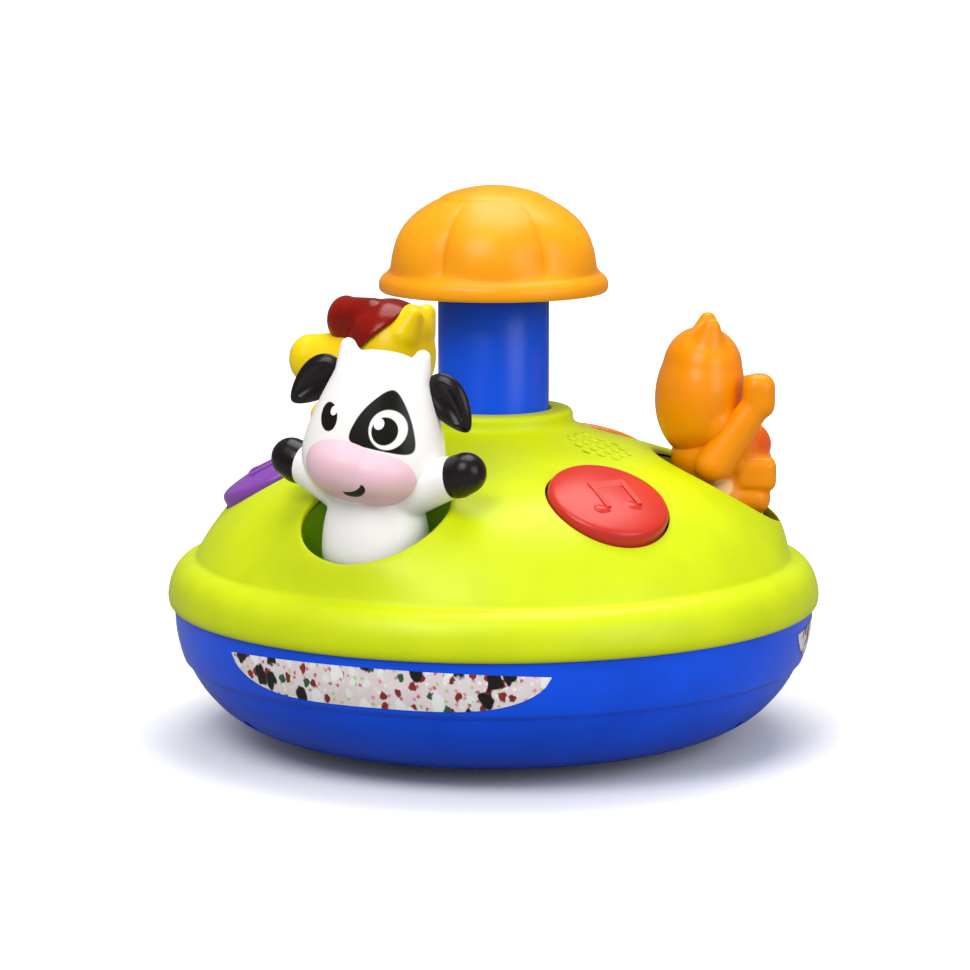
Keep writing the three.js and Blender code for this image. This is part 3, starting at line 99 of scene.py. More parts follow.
world = bpy.data.worlds.new("studio_air")
scene.world = world
world.use_nodes = True
air = world.node_tree
air.nodes.clear()
ray = node(air, "ShaderNodeLightPath", {}, {})
dim = node(air, "ShaderNodeMapRange", {},
           {"Value": ray.outputs["Is Glossy Ray"], "To Min": 0.66, "To Max": 0.15})
strength = node(air, "ShaderNodeMapRange", {},
                {"Value": ray.outputs["Is Camera Ray"], "To Min": dim.outputs["Result"], "To Max": 1.0})
sky = node(air, "ShaderNodeBackground", {},
           {"Color": linear("#ffffff"), "Strength": strength.outputs["Result"]})
node(air, "ShaderNodeOutputWorld", {}, {"Surface": sky.outputs[0]})

paper, tree = blank_material("matt_white_paper")
place = node(tree, "ShaderNodeTexCoord", {}, {})
# Paper fibre about 1 mm long, drawn coarser than real so that it shows
fibre = node(tree, "ShaderNodeTexNoise", {}, {"Vector": place.outputs["Object"], "Scale": 1000, "Detail": 3})
tint = node(tree, "ShaderNodeMix", {"data_type": "RGBA"},
            {0: fibre.outputs["Fac"], 6: linear("#fbfbfb"), 7: linear("#f4f4f4")})
# The camera sees white paper, lit a little from behind where it rises; the toy sees it grey
ray = node(tree, "ShaderNodeLightPath", {}, {})
seen = node(tree, "ShaderNodeMix", {"data_type": "RGBA"},
            {0: ray.outputs["Is Camera Ray"], 6: linear("#8c8c8c"), 7: tint.outputs[2]})
level = node(tree, "ShaderNodeSeparateXYZ", {}, {"Vector": place.outputs["Object"]})
far = node(tree, "ShaderNodeMapRange", {},
           {"Value": level.outputs["Y"], "From Min": 0.25, "From Max": 1.3, "To Max": 0.6})
glow = node(tree, "ShaderNodeMath", {"operation": "MULTIPLY"},
            {0: far.outputs["Result"], 1: ray.outputs["Is Camera Ray"]})
skin = node(tree, "ShaderNodeBsdfPrincipled", {},
            {"Base Color": seen.outputs[2], "Roughness": 0.85, "Emission Color": linear("#ffffff"),
             "Emission Strength": glow.outputs[0]})
node(tree, "ShaderNodeOutputMaterial", {}, {"Surface": skin.outputs[0]})

sweep = bmesh.new()
sweep_line = ((-2.2, 0), (1.2, 0), (1.6, 0.1), (1.9, 0.45), (2.0, 1.0), (2.0, 3.0))
back_edge = [sweep.verts.new((-3, y, z)) for y, z in sweep_line]
back_line = [sweep.edges.new(pair) for pair in zip(back_edge, back_edge[1:])]
grown = bmesh.ops.extrude_edge_only(sweep, edges=back_line)
bmesh.ops.translate(sweep, vec=(6, 0, 0),
                    verts=[part for part in grown["geom"] if isinstance(part, bmesh.types.BMVert)])
bmesh.ops.recalc_face_normals(sweep, faces=sweep.faces)
sweep_mesh = bpy.data.meshes.new("paper_sweep")
sweep.to_mesh(sweep_mesh)
sweep.free()
sweep_mesh.materials.append(paper)
sweep_mesh.shade_smooth()
floor = bpy.data.objects.new("paper_sweep", sweep_mesh)
scene.collection.objects.link(floor)


# Foot: a blue moulded disc that stands still on the floor, with a rubber ring let into its
# underside and the hub that the spindle stands in.
MM = 0.001
GRAIN_DEPTH = 0.003


def turned(profile, steps=128, closed=False):
    """Profile of (radius, height) in mm, spun round the vertical axis."""
    form = bmesh.new()
    line = [form.verts.new((radius * MM, 0, height * MM)) for radius, height in profile]
    edges = [form.edges.new(pair) for pair in zip(line, line[1:])]
    if closed:
        edges.append(form.edges.new((line[-1], line[0])))
    bmesh.ops.spin(form, geom=line + edges, cent=(0, 0, 0), axis=(0, 0, 1), angle=2 * math.pi, steps=steps,
                   use_merge=True, use_duplicate=False)
    bmesh.ops.remove_doubles(form, verts=form.verts, dist=1e-6)
    bmesh.ops.recalc_face_normals(form, faces=form.faces)
    return form


def bezier(start, pull_a, pull_b, end, count):
    """Points on a cubic curve between two (radius, height) places."""
    knots = [Vector((*point, 0)) for point in (start, pull_a, pull_b, end)]
    return [(point.x, point.y) for point in interpolate_bezier(*knots, count)]


def piece(name, form, body, material, nodes=(), sharp=40):
    """Makes the form a piece that rides on a body and stands for its nodes."""
    mesh = bpy.data.meshes.new(name)
    form.to_mesh(mesh)
    form.free()
    mesh.materials.append(material)
    mesh.shade_smooth()
    mesh.set_sharp_from_angle(angle=math.radians(sharp))
    made = bpy.data.objects.new(name, mesh)
    scene.collection.objects.link(made)
    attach(made, body)
    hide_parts(*nodes)
    return made


def moulded(name, main, shade, roughness=0.3, grain=0.9, clouds=26.0):
    """Injection-moulded plastic: an even colour that drifts a little with the melt's flow, a soft
    gloss, and the fine grain of the mould's steel."""
    material, tree = blank_material(name)
    place = node(tree, "ShaderNodeTexCoord", {}, {})
    flow = node(tree, "ShaderNodeTexNoise", {},
                {"Vector": place.outputs["Object"], "Scale": 1000 / clouds, "Detail": 2.0})
    drift = node(tree, "ShaderNodeMapRange", {},
                 {"Value": flow.outputs["Fac"], "From Min": 0.35, "From Max": 0.75})
    tint = node(tree, "ShaderNodeMix", {"data_type": "RGBA"},
                {0: drift.outputs["Result"], 6: linear(main), 7: linear(shade)})
    touch = node(tree, "ShaderNodeTexNoise", {},
                 {"Vector": place.outputs["Object"], "Scale": 1000 / 7, "Detail": 4.0})
    gloss = node(tree, "ShaderNodeMapRange", {},
                 {"Value": touch.outputs["Fac"], "To Min": roughness - 0.05, "To Max": roughness + 0.07})
    steel_grain = node(tree, "ShaderNodeTexNoise", {},
                       {"Vector": place.outputs["Object"], "Scale": 1000 / grain, "Detail": 2.0})
    relief = node(tree, "ShaderNodeBump", {},
                  {"Height": steel_grain.outputs["Fac"], "Distance": GRAIN_DEPTH * MM, "Strength": 0.3})
    skin = node(tree, "ShaderNodeBsdfPrincipled", {},
                {"Base Color": tint.outputs[2], "Roughness": gloss.outputs["Result"], "IOR": 1.53,
                 "Specular IOR Level": 0.25, "Normal": relief.outputs["Normal"]})
    node(tree, "ShaderNodeOutputMaterial", {}, {"Surface": skin.outputs[0]})
    return material


blue_abs = moulded("blue_moulded_abs", "#0052ee", "#004add", roughness=0.3)
foot_rim = bezier((42, 1.3), (43, 1.3), (43, 4), (41.6, 4), 8)
foot_profile = [(0, 1.2), (5, 1.2), (32.6, 1.2), (32.7, 2.1), (41.3, 2.1), (41.4, 1.25)] + foot_rim + [
    (13.4, 4), (13, 4.4), (13, 6.2), (12.6, 6.6), (0, 6.6)]
piece("foot_disc", turned(foot_profile), "foot", blue_abs, ["foot_plate"])

rubber, tree = blank_material("matt_thermoplastic_rubber")
place = node(tree, "ShaderNodeTexCoord", {}, {})
# Matt rubber with a 0.6 mm pebble that grips the floor
pebble = node(tree, "ShaderNodeTexVoronoi", {}, {"Vector": place.outputs["Object"], "Scale": 1000 / 0.6})
dust = node(tree, "ShaderNodeTexNoise", {},
            {"Vector": place.outputs["Object"], "Scale": 1000 / 9, "Detail": 5.0})
tint = node(tree, "ShaderNodeMix", {"data_type": "RGBA"},
            {0: dust.outputs["Fac"], 6: linear("#26282b"), 7: linear("#393b3e")})
relief = node(tree, "ShaderNodeBump", {},
              {"Height": pebble.outputs["Distance"], "Distance": 0.06 * MM, "Strength": 0.7})
skin = node(tree, "ShaderNodeBsdfPrincipled", {},
            {"Base Color": tint.outputs[2], "Roughness": 0.82, "Normal": relief.outputs["Normal"]})
node(tree, "ShaderNodeOutputMaterial", {}, {"Surface": skin.outputs[0]})
grip_profile = [(33, 0.5), (33.5, 0), (40.5, 0), (41, 0.5), (41, 1.7), (40.8, 1.8), (33.2, 1.8), (33, 1.7)]
piece("rubber_ring", turned(grip_profile, closed=True), "foot", rubber, ["anti_slip_ring"])


# Bearing and drive under the cover: an acetal spindle, nut, washer and ratchet plate, and a
# plated steel rod, spring, clip, washer, pins and screws.
def repaint(material, *nodes):
    """Gives CAD nodes whose shape is right a better material."""
    for name in nodes:
        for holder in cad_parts[name].material_slots:
            holder.material = material


acetal = moulded("natural_acetal", "#e9e7de", "#dedbcf", roughness=0.42, grain=0.8, clouds=12.0)
repaint(acetal, "spindle", "thrust_washer", "drive_nut", "ratchet_plate")

plated_steel, tree = blank_material("zinc_plated_steel")
place = node(tree, "ShaderNodeTexCoord", {}, {})
# Drawn wire and turned steel under bright zinc: faint lines 0.3 mm apart and a cloudy plating
draw = node(tree, "ShaderNodeMapping", {}, {"Vector": place.outputs["Object"], "Scale": (1, 1, 0.12)})
lines = node(tree, "ShaderNodeTexNoise", {}, {"Vector": draw.outputs[0], "Scale": 1000 / 0.3, "Detail": 2.0})
cloud = node(tree, "ShaderNodeTexNoise", {},
             {"Vector": place.outputs["Object"], "Scale": 1000 / 4, "Detail": 3.0})
tint = node(tree, "ShaderNodeMix", {"data_type": "RGBA"},
            {0: cloud.outputs["Fac"], 6: linear("#c9ccd0"), 7: linear("#aeb2b8")})
gloss = node(tree, "ShaderNodeMapRange", {}, {"Value": lines.outputs["Fac"], "To Min": 0.22, "To Max": 0.42})
skin = node(tree, "ShaderNodeBsdfPrincipled", {},
            {"Base Color": tint.outputs[2], "Metallic": 1.0, "Roughness": gloss.outputs["Result"]})
node(tree, "ShaderNodeOutputMaterial", {}, {"Surface": skin.outputs[0]})
repaint(plated_steel, "spindle_screw", "retaining_clip", "spring_washer", "return_spring", "twisted_rod",
        "rod_screw", "knob_screw_1", "knob_screw_2", "battery_link", "battery_terminal",
        "cow_pivot_pin", "cat_pivot_pin", "horse_pivot_pin",
        "cow_centring_spring", "cat_centring_spring", "horse_centring_spring")


# Bowl: the blue moulded underside, with a deep round side, a recess round the hub, three wells
# for the case screws, the battery door's seat and the slot for the switch.
def crossing(base, tool, operation="DIFFERENCE"):
    """Cuts one closed form by another, or joins them."""
    holders = []
    for form in (base, tool):
        mesh = bpy.data.meshes.new("blank")
        form.to_mesh(mesh)
        form.free()
        holder = bpy.data.objects.new("blank", mesh)
        scene.collection.objects.link(holder)
        holders.append(holder)
    cut = holders[0].modifiers.new("cut", "BOOLEAN")
    cut.object = holders[1]
    cut.operation = operation
    cut.solver = "EXACT"
    shaped = holders[0].evaluated_get(bpy.context.evaluated_depsgraph_get())
    result = bmesh.new()
    result.from_mesh(shaped.to_mesh())
    shaped.to_mesh_clear()
    for holder in holders:
        mesh = holder.data
        bpy.data.objects.remove(holder)
        bpy.data.meshes.remove(mesh)
    return result


def placed(form, matrix):
    bmesh.ops.transform(form, matrix=matrix, verts=form.verts)
    return form


def shifted(form, x, y, z=0.0):
    return placed(form, Matrix.Translation((x * MM, y * MM, z * MM)))


def gathered(forms):
    """Several forms in one, side by side."""
    whole = bmesh.new()
    for form in forms:
        mesh = bpy.data.meshes.new("blank")
        form.to_mesh(mesh)
        form.free()
        whole.from_mesh(mesh)
        bpy.data.meshes.remove(mesh)
    return whole


def brick(half_x, half_y, low, high, corner=0.0, all_round=False):
    """Upright block about the axis, in mm, with its upright corners rounded, or all of its edges."""
    form = bmesh.new()
    bmesh.ops.create_cube(form, size=1)
    bmesh.ops.scale(form, vec=(2 * half_x * MM, 2 * half_y * MM, (high - low) * MM), verts=form.verts)
    bmesh.ops.translate(form, vec=(0, 0, (high + low) / 2 * MM), verts=form.verts)
    if corner:
        rounded = [edge for edge in form.edges
                   if all_round or abs(edge.verts[0].co.z - edge.verts[1].co.z) > 1e-6]
        bmesh.ops.bevel(form, geom=rounded, offset=corner * MM, affect="EDGES", segments=5, profile=0.5,
                        material=-1)
    return form


def station(turn, radius=0.0, height=0.0, tilt=0.0):
    """Place on the toy: turn in degrees about the axis, then out, up and tilted outwards."""
    return (Matrix.Rotation(math.radians(turn), 4, "Z") @ Matrix.Translation((radius * MM, 0, height * MM))
            @ Matrix.Rotation(tilt, 4, "Y"))


BOWL_STEP = 29.4
STEP_DEPTH = 1.1
CASE_SCREW_TURNS = (90, 210, 330)
CASE_SCREW_RADIUS = 95
DOOR_RADIUS = 59.5
DOOR_EAR = 31.4
SWITCH_RADIUS = 59


def step_back(height):
    """How far the bowl's lower half is set in, which fades out towards the foot."""
    return STEP_DEPTH * min(max((BOWL_STEP - height) / 0.9, 0), 1) * min(max((height - 5) / 12, 0), 1)


bowl_side = [(radius - step_back(height), height)
             for radius, height in bezier((74, 4.6), (95, 6), (111.5, 20.5), (112.6, 44.4), 90)] + [
    (112.8, 46.2), (112.9, 48.1)]
bowl_lining = bezier((74, 7.2), (93, 8.4), (108.4, 21.5), (109.6, 41), 16)
bowl_profile = [(8.8, 8.2), (15.6, 8.2), (16, 7.9), (16, 5.1), (16.6, 4.6), (45, 4.6)] + bowl_side + [
    (112.6, 48.4), (110.4, 48.4), (108, 48.4), (108, 42)] + bowl_lining[::-1] + [
    (18.6, 7.2), (18.6, 10.8), (12, 10.8), (12, 24), (8.7, 24), (8.7, 8.3)]
bowl = turned(bowl_profile, steps=160, closed=True)
wells = [placed(turned([(0, -5), (3.6, -5), (3.3, 30), (0, 30)], 32), station(turn, CASE_SCREW_RADIUS))
         for turn in CASE_SCREW_TURNS]
door_seat = placed(brick(13.15, 29.65, 2, 6.4, 1.2), station(90, DOOR_RADIUS))
slot_cut = placed(brick(2, 5, 2, 9, 0.8), station(0, SWITCH_RADIUS))
bowl = crossing(bowl, gathered(wells + [door_seat, slot_cut]))
piece("bowl_shell", bowl, "housing", blue_abs, ["bowl"])


# Labels: three crescents of printed film stuck on the bowl under the band, one below each figure,
# with a busy pattern of blots and spots in the colours of the toy.
LABEL_SPAN = math.radians(30.5)
LABEL_TOP = 45.2
LABEL_DEPTH = 13.6


def bowl_radius(height):
    for (inner, low), (outer, high) in zip(bowl_side, bowl_side[1:]):
        if low <= height <= high:
            return inner + (outer - inner) * (height - low) / (high - low)
    return bowl_side[-1][0]


def speckles(tree, place, size, spread, dot, codes):
    """Mask and colour of small ragged blots printed a size in mm apart."""
    spots = node(tree, "ShaderNodeMapping", {}, {"Vector": place.outputs["UV"], "Scale": (1, spread, 1)})
    ragged = node(tree, "ShaderNodeTexNoise", {"noise_dimensions": "2D"},
                  {"Vector": spots.outputs[0], "Scale": 250 / size, "Detail": 1.0})
    shaken = node(tree, "ShaderNodeVectorMath", {"operation": "MULTIPLY_ADD"},
                  {0: ragged.outputs["Color"], 1: (0.0035 * size, 0.0035 * size, 0), 2: spots.outputs[0]})
    cells = node(tree, "ShaderNodeTexVoronoi", {"voronoi_dimensions": "2D"},
                 {"Vector": shaken.outputs[0], "Scale": 100 / size, "Randomness": 0.85})
    mask = node(tree, "ShaderNodeMapRange", {}, {"Value": cells.outputs["Distance"], "From Min": dot + 0.025,
                                                 "From Max": dot - 0.025})
    pick = node(tree, "ShaderNodeSeparateColor", {}, {"Color": cells.outputs["Color"]})
    ramp = node(tree, "ShaderNodeValToRGB", {}, {"Fac": pick.outputs["Red"]})
    ramp.color_ramp.interpolation = "CONSTANT"
    for number, code in enumerate(codes):
        stops = ramp.color_ramp.elements
        stop = stops[number] if number < 2 else stops.new(number / len(codes))
        stop.position = number / len(codes)
        stop.color = linear(code)
    return mask.outputs["Result"], ramp.outputs["Color"]


# Glossy printed film: greyish white with a pink cast in clouds, and marks from 1 to 5 mm
film, tree = blank_material("printed_label_film")
place = node(tree, "ShaderNodeTexCoord", {}, {})
cast = node(tree, "ShaderNodeTexNoise", {"noise_dimensions": "2D"},
            {"Vector": place.outputs["UV"], "Scale": 12})
ink = node(tree, "ShaderNodeMix", {"data_type": "RGBA"},
           {0: cast.outputs["Fac"], 6: linear("#e4e8e5"), 7: linear("#e2c8ce")}).outputs[2]
for size, spread, dot, codes in ((2.8, 1.0, 0.22, ("#f0dfe2", "#c96f74", "#f3efe8", "#b9cf7a", "#d99aa6")),
                                 (4.9, 0.8, 0.25, ("#7a2a22", "#e9ece9", "#8c2a22", "#2f5a36", "#e9ece9")),
                                 (8.6, 0.66, 0.27, ("#16130f", "#eef0ee", "#16130f", "#eef0ee"))):
    mask, colour = speckles(tree, place, size, spread, dot, codes)
    ink = node(tree, "ShaderNodeMix", {"data_type": "RGBA"}, {0: mask, 6: ink, 7: colour}).outputs[2]
skin = node(tree, "ShaderNodeBsdfPrincipled", {},
            {"Base Color": ink, "Roughness": 0.3, "Specular IOR Level": 0.3})
node(tree, "ShaderNodeOutputMaterial", {}, {"Surface": skin.outputs[0]})
for number, turn in enumerate((9, 129, 249)):
    label = bmesh.new()
    bmesh.ops.create_grid(label, x_segments=64, y_segments=14, size=1)
    printing = label.loops.layers.uv.new("print")
    for vertex in label.verts:
        across, down = vertex.co.x, (1 - vertex.co.y) / 2
        top = LABEL_TOP - 1.8 * across ** 2
        height = top - down * max(LABEL_DEPTH * (1 - across ** 4) ** 0.65, 0.3)
        angle = math.radians(turn) + LABEL_SPAN * across
        radius = bowl_radius(height) + 0.16
        for loop in vertex.link_loops:
            loop[printing].uv = (across * 0.59 + number * 1.7, (height - 30) / 100)
        vertex.co = Vector((radius * math.cos(angle), radius * math.sin(angle), height)) * MM
    bmesh.ops.solidify(label, geom=label.faces, thickness=0.1 * MM)
    piece(f"bowl_label_{number + 1}", label, "housing", film)


# Battery door: a flat blue cover let into the bowl, with a screw ear and ribs that a thumbnail
# catches, held by one screw.
door = brick(12.7, 29.2, 4.6, 6, 1.0)
ear = shifted(turned([(0, 4.6), (4.4, 4.6), (4.4, 8), (0, 8)], 32), 0, DOOR_EAR)
door = crossing(door, ear, "UNION")
sink = shifted(turned([(0, 2), (2.7, 2), (2.7, 6.3), (1.5, 6.3), (1.5, 9), (0, 9)], 32), 0, DOOR_EAR)
door = crossing(door, sink)
ribs = [shifted(brick(6, 0.5, 4.35, 5, 0.3), 0, -24 + 2.2 * row) for row in range(3)]
door = crossing(door, gathered(ribs), "UNION")
piece("battery_cover", placed(door, station(90, DOOR_RADIUS)), "housing", blue_abs, ["battery_door"],
      sharp=30)


def cross_screw(head, depth, shank, length):
    """Pan-head screw seen from its head at height 0, with a cross recess."""
    crown = bezier((0, 0), (head * 0.7, 0), (head, depth * 0.3), (head, depth), 8)
    form = turned(crown + [(shank, depth), (shank, length), (0, length)], 32)
    for long_x, long_y in ((head * 0.55, head * 0.13), (head * 0.13, head * 0.55)):
        form = crossing(form, brick(long_x, long_y, -1, depth * 0.6))
    return form


piece("door_screw", shifted(cross_screw(2.4, 1.4, 1.2, 8.4), -DOOR_EAR, DOOR_RADIUS, 4.6), "housing",
      plated_steel, ["battery_door_screw"])
for number, turn in enumerate(CASE_SCREW_TURNS, 1):
    spot = station(turn, CASE_SCREW_RADIUS, 28.1)
    piece(f"case_screw_head_{number}", placed(cross_screw(3, 2, 1.4, 18), spot),
          "housing", plated_steel, [f"case_screw_{number}"])


# Electronics: a glass-fibre circuit board and three button boards, two cells with printed
# sleeves, the slide switch, lamps and the speaker's black basket.
board_green, tree = blank_material("solder_masked_glass_fibre")
place = node(tree, "ShaderNodeTexCoord", {}, {})
# Green mask over a 1.2 mm glass weave
weave = node(tree, "ShaderNodeTexWave", {}, {"Vector": place.outputs["Object"], "Scale": 1000 / 1.2 / 6})
tint = node(tree, "ShaderNodeMix", {"data_type": "RGBA"},
            {0: weave.outputs["Fac"], 6: linear("#2c7439"), 7: linear("#23662f")})
relief = node(tree, "ShaderNodeBump", {},
              {"Height": weave.outputs["Fac"], "Distance": 0.02 * MM, "Strength": 0.5})
skin = node(tree, "ShaderNodeBsdfPrincipled", {},
            {"Base Color": tint.outputs[2], "Roughness": 0.35, "Normal": relief.outputs["Normal"]})
node(tree, "ShaderNodeOutputMaterial", {}, {"Surface": skin.outputs[0]})
repaint(board_green, "circuit_board", "red_button_board", "purple_button_board", "orange_button_board")

sleeve, tree = blank_material("shrunk_battery_sleeve")
place = node(tree, "ShaderNodeTexCoord", {}, {})
# Film shrunk on a steel can: dark, with a copper-coloured band over one third of the cell
along = node(tree, "ShaderNodeSeparateXYZ", {}, {"Vector": place.outputs["Object"]})
band = node(tree, "ShaderNodeMath", {"operation": "GREATER_THAN"}, {0: along.outputs["X"], 1: 0.007})
crinkle = node(tree, "ShaderNodeTexNoise", {}, {"Vector": place.outputs["Object"], "Scale": 1000 / 2})
tint = node(tree, "ShaderNodeMix", {"data_type": "RGBA"},
            {0: band.outputs[0], 6: linear("#2f363d"), 7: linear("#b27a3c")})
relief = node(tree, "ShaderNodeBump", {},
              {"Height": crinkle.outputs["Fac"], "Distance": 0.03 * MM, "Strength": 0.4})
skin = node(tree, "ShaderNodeBsdfPrincipled", {},
            {"Base Color": tint.outputs[2], "Metallic": 0.5, "Roughness": 0.3,
             "Normal": relief.outputs["Normal"]})
node(tree, "ShaderNodeOutputMaterial", {}, {"Surface": skin.outputs[0]})
repaint(sleeve, "battery_1", "battery_2")

black_nylon = moulded("black_glass_filled_nylon", "#1d1d1f", "#2a2a2c", roughness=0.5, grain=0.7, clouds=5.0)
repaint(black_nylon, "switch_body", "speaker")
lamp_lens = moulded("milky_lamp_epoxy", "#eef0ea", "#e2e4dc", roughness=0.2, grain=1.0)
repaint(lamp_lens, "red_lamp", "purple_lamp", "orange_lamp")

grips = [shifted(brick(1.5, 0.35, 4.9, 5.7, 0.2), 0, -1.4 + 1.4 * row) for row in range(3)]
slider = crossing(brick(1.4, 2.2, 5.3, 10, 0.3), gathered(grips), "UNION")
piece("switch_knob", shifted(slider, SWITCH_RADIUS, -2.2), "slider", black_nylon,
      ["switch_slider"])


# Cover: the lime moulded dome, with a rolled rim band, a collar for the post, a swelling and a
# deep pocket round each figure, three button openings and the holes over the speaker.
RIM_RADIUS = 115
BAND_LOW = 48.3
CREASE = (104.6, 66.3)
COLLAR_ROOT = (30, 110.9)
COVER_WALL = 2.4
BRIM = math.radians(61.5)
BRIM_PULL = 41.4
SHOULDER = math.radians(25.4)
SHOULDER_PULL = 30
dome_line = bezier(CREASE, (CREASE[0] - BRIM_PULL * math.cos(BRIM), CREASE[1] + BRIM_PULL * math.sin(BRIM)),
                   (COLLAR_ROOT[0] + SHOULDER_PULL * math.cos(SHOULDER),
                    COLLAR_ROOT[1] - SHOULDER_PULL * math.sin(SHOULDER)), COLLAR_ROOT, 80)
FIGURE_RADIUS = 79
FIGURE_TURNS = {"cat": 0, "horse": 120, "cow": 240}
SWELL_HEIGHT = 7.0
SWELL_REACH = 40.0
SWELL_PLACE = 92.0


def swell(x, y):
    """How far the skin rises round the figures at a place in mm; it drops steeply at the crease."""
    fade = math.sin(math.pi / 2 * min(max((CREASE[0] - math.hypot(x, y)) / 4.2, 0), 1))
    rise = 0.0
    for turn in FIGURE_TURNS.values():
        angle = math.radians(turn)
        aside, along = x - SWELL_PLACE * math.cos(angle), y - SWELL_PLACE * math.sin(angle)
        far = math.hypot(aside, along) / SWELL_REACH
        if far < 1:
            rise += fade * SWELL_HEIGHT * 0.5 * (1 + math.cos(math.pi * far))
    return rise


def dome_height(x, y):
    """Height of the finished skin at a place in mm."""
    radius = math.hypot(x, y)
    for (outer, low), (inner, high) in zip(dome_line, dome_line[1:]):
        if radius >= inner:
            share = (outer - radius) / (outer - inner)
            return low + (high - low) * share + swell(x, y)
    return COLLAR_ROOT[1] + swell(x, y)


def inward(points, depth):
    """The same line set back by a wall's thickness."""
    back = []
    for number, (radius, height) in enumerate(points):
        before = points[max(number - 1, 0)]
        after = points[min(number + 1, len(points) - 1)]
        run = Vector((after[0] - before[0], after[1] - before[1])).normalized()
        back.append((radius - run.y * depth, height + run.x * depth))
    return back


band_side = bezier((113.2, BAND_LOW), (114.4, 48.4), (RIM_RADIUS, 49.8), (RIM_RADIUS, 52), 8)
band_top = bezier((RIM_RADIUS, 52), (114.6, 57), (112.6, 63.2), (106.6, 64.4), 18)
crease_line = bezier((106.6, 64.4), (105.6, 64.6), (105, 65.1), CREASE, 6)
collar_foot = bezier(COLLAR_ROOT, (28.6, 111.6), (28, 112.6), (28, 114.2), 6)
collar_lip = bezier((28, 114.2), (28, 116), (27.2, 116.9), (25.4, 116.9), 10)
outer_skin = band_side + band_top[1:] + crease_line[1:] + dome_line[1:] + collar_foot[1:] + collar_lip[1:]
lining = inward(dome_line, COVER_WALL)[::4]
cover_profile = outer_skin + [(20.6, 116.9), (20.1, 116.4), (20.1, 102.1), (22.7, 102.1), (22.7, 107)] + [
    point for point in lining[::-1] if point[0] > 27] + [(110.5, 56), (110.5, 48.6), (113, BAND_LOW)]
cover = turned(cover_profile, steps=180, closed=True)
for vertex in cover.verts:
    x, y, z = vertex.co / MM
    if z > 61.9 and math.hypot(x, y) > 27.3:
        vertex.co.z += swell(x, y) * MM

POCKET = (22.0, 26.0)
POCKET_FLOOR = 58.0
POCKET_ROUND = 2.4


def pocket_form(turn, grow, height_of):
    """Upright oval form at a figure's place.

    Its rings grow by grow(level) and lie at height_of(level, x, y).
    """
    form = turned([(0, 0), (1, 0)] + [(1, level) for level in range(1, 12)] + [(0, 11)], 96)
    for vertex in form.verts:
        level = round(vertex.co.z / MM)
        ring = min(math.hypot(vertex.co.x, vertex.co.y) / MM, 1)
        across = math.atan2(vertex.co.y, vertex.co.x)
        spread = grow(level)
        out = Vector((math.cos(across) / POCKET[0], math.sin(across) / POCKET[1])).normalized() * spread
        x = (POCKET[0] * math.cos(across) + out.x) * ring
        y = (POCKET[1] * math.sin(across) + out.y) * ring
        place = station(turn, FIGURE_RADIUS) @ Vector((x * MM, y * MM, 0))
        vertex.co = (place.x, place.y, height_of(level, place.x / MM, place.y / MM) * MM)
    bmesh.ops.recalc_face_normals(form, faces=form.faces)
    return form


def mouth_bend(level):
    return math.pi / 2 * (level - 2) / 8


def pocket_room(turn):
    """The pocket's room, flared at its mouth so that the cover rolls into it."""
    def grow(level):
        return POCKET_ROUND * (1 - math.cos(mouth_bend(min(max(level, 2), 10)))) + (0.6 if level > 10 else 0)

    def height_of(level, x, y):
        if level == 0:
            return POCKET_FLOOR
        if level == 11:
            return 160
        return dome_height(x, y) - (POCKET_ROUND * (1.6 if level == 1 else 1 - math.sin(mouth_bend(level))))

    return pocket_form(turn, grow, height_of)


BUTTON_PLACE = 77
BUTTON_HEIGHT = 94.325
BUTTON_SLOPE = math.atan2(0.453506, 0.891253)
BUTTON_TURNS = {"orange": 60, "purple": 180, "red": 300}
WELL_RADIUS = 21.6
SPEAKER_TURN = 330
SPEAKER_PLACE = 43
SPEAKER_HEIGHT = 105.8
SPEAKER_SLOPE = math.asin(0.2966)
well_mouth = bezier((WELL_RADIUS, -2.4), (WELL_RADIUS, -1.0), (22.1, 0.0), (23.2, 0.3), 8)
button_wells = [placed(turned([(0, -9), (WELL_RADIUS, -9)] + well_mouth + [(23.6, 12), (0, 12)], 96),
                       station(turn, BUTTON_PLACE, BUTTON_HEIGHT, BUTTON_SLOPE))
                for turn in BUTTON_TURNS.values()]
GRILLE_PITCH = 5.2
GRILLE_REACH = 11.5
speaker_seat = station(SPEAKER_TURN, SPEAKER_PLACE, SPEAKER_HEIGHT, SPEAKER_SLOPE)
grille_holes = []
for row in range(-3, 4):
    for column in range(-3, 4):
        x = row * GRILLE_PITCH * math.sin(math.radians(60))
        y = (column + (0.5 if row % 2 else 0)) * GRILLE_PITCH
        if math.hypot(x, y) <= GRILLE_REACH:
            hole = shifted(turned([(0, -6), (1.5, -6), (1.5, -0.6), (2.1, 0.3), (2.1, 4), (0, 4)], 16), x, y)
            grille_holes.append(placed(hole, speaker_seat))
cover = crossing(cover, gathered([pocket_room(turn) for turn in FIGURE_TURNS.values()]))
cover = crossing(cover, gathered(button_wells + grille_holes))
lime_abs = moulded("lime_moulded_abs", "#cadb02", "#c0d102", roughness=0.38)
piece("lime_cover", cover, "housing", lime_abs, ["dome_cover"], sharp=32)


# Carrier under the cover: one green moulding with a cup below each pocket opening, the two ears
# that hold each pivot pin, and a flat ring round the collar that joins the cups.
CUP_WALL = 2.0
PIN_HEIGHT = 67


def cup_wall(turn):
    def height_of(level, x, y):
        return POCKET_FLOOR - CUP_WALL if level == 0 else dome_height(x, y) - 3.4 - (11 - level) * 0.1

    return pocket_form(turn, lambda level: CUP_WALL, height_of)


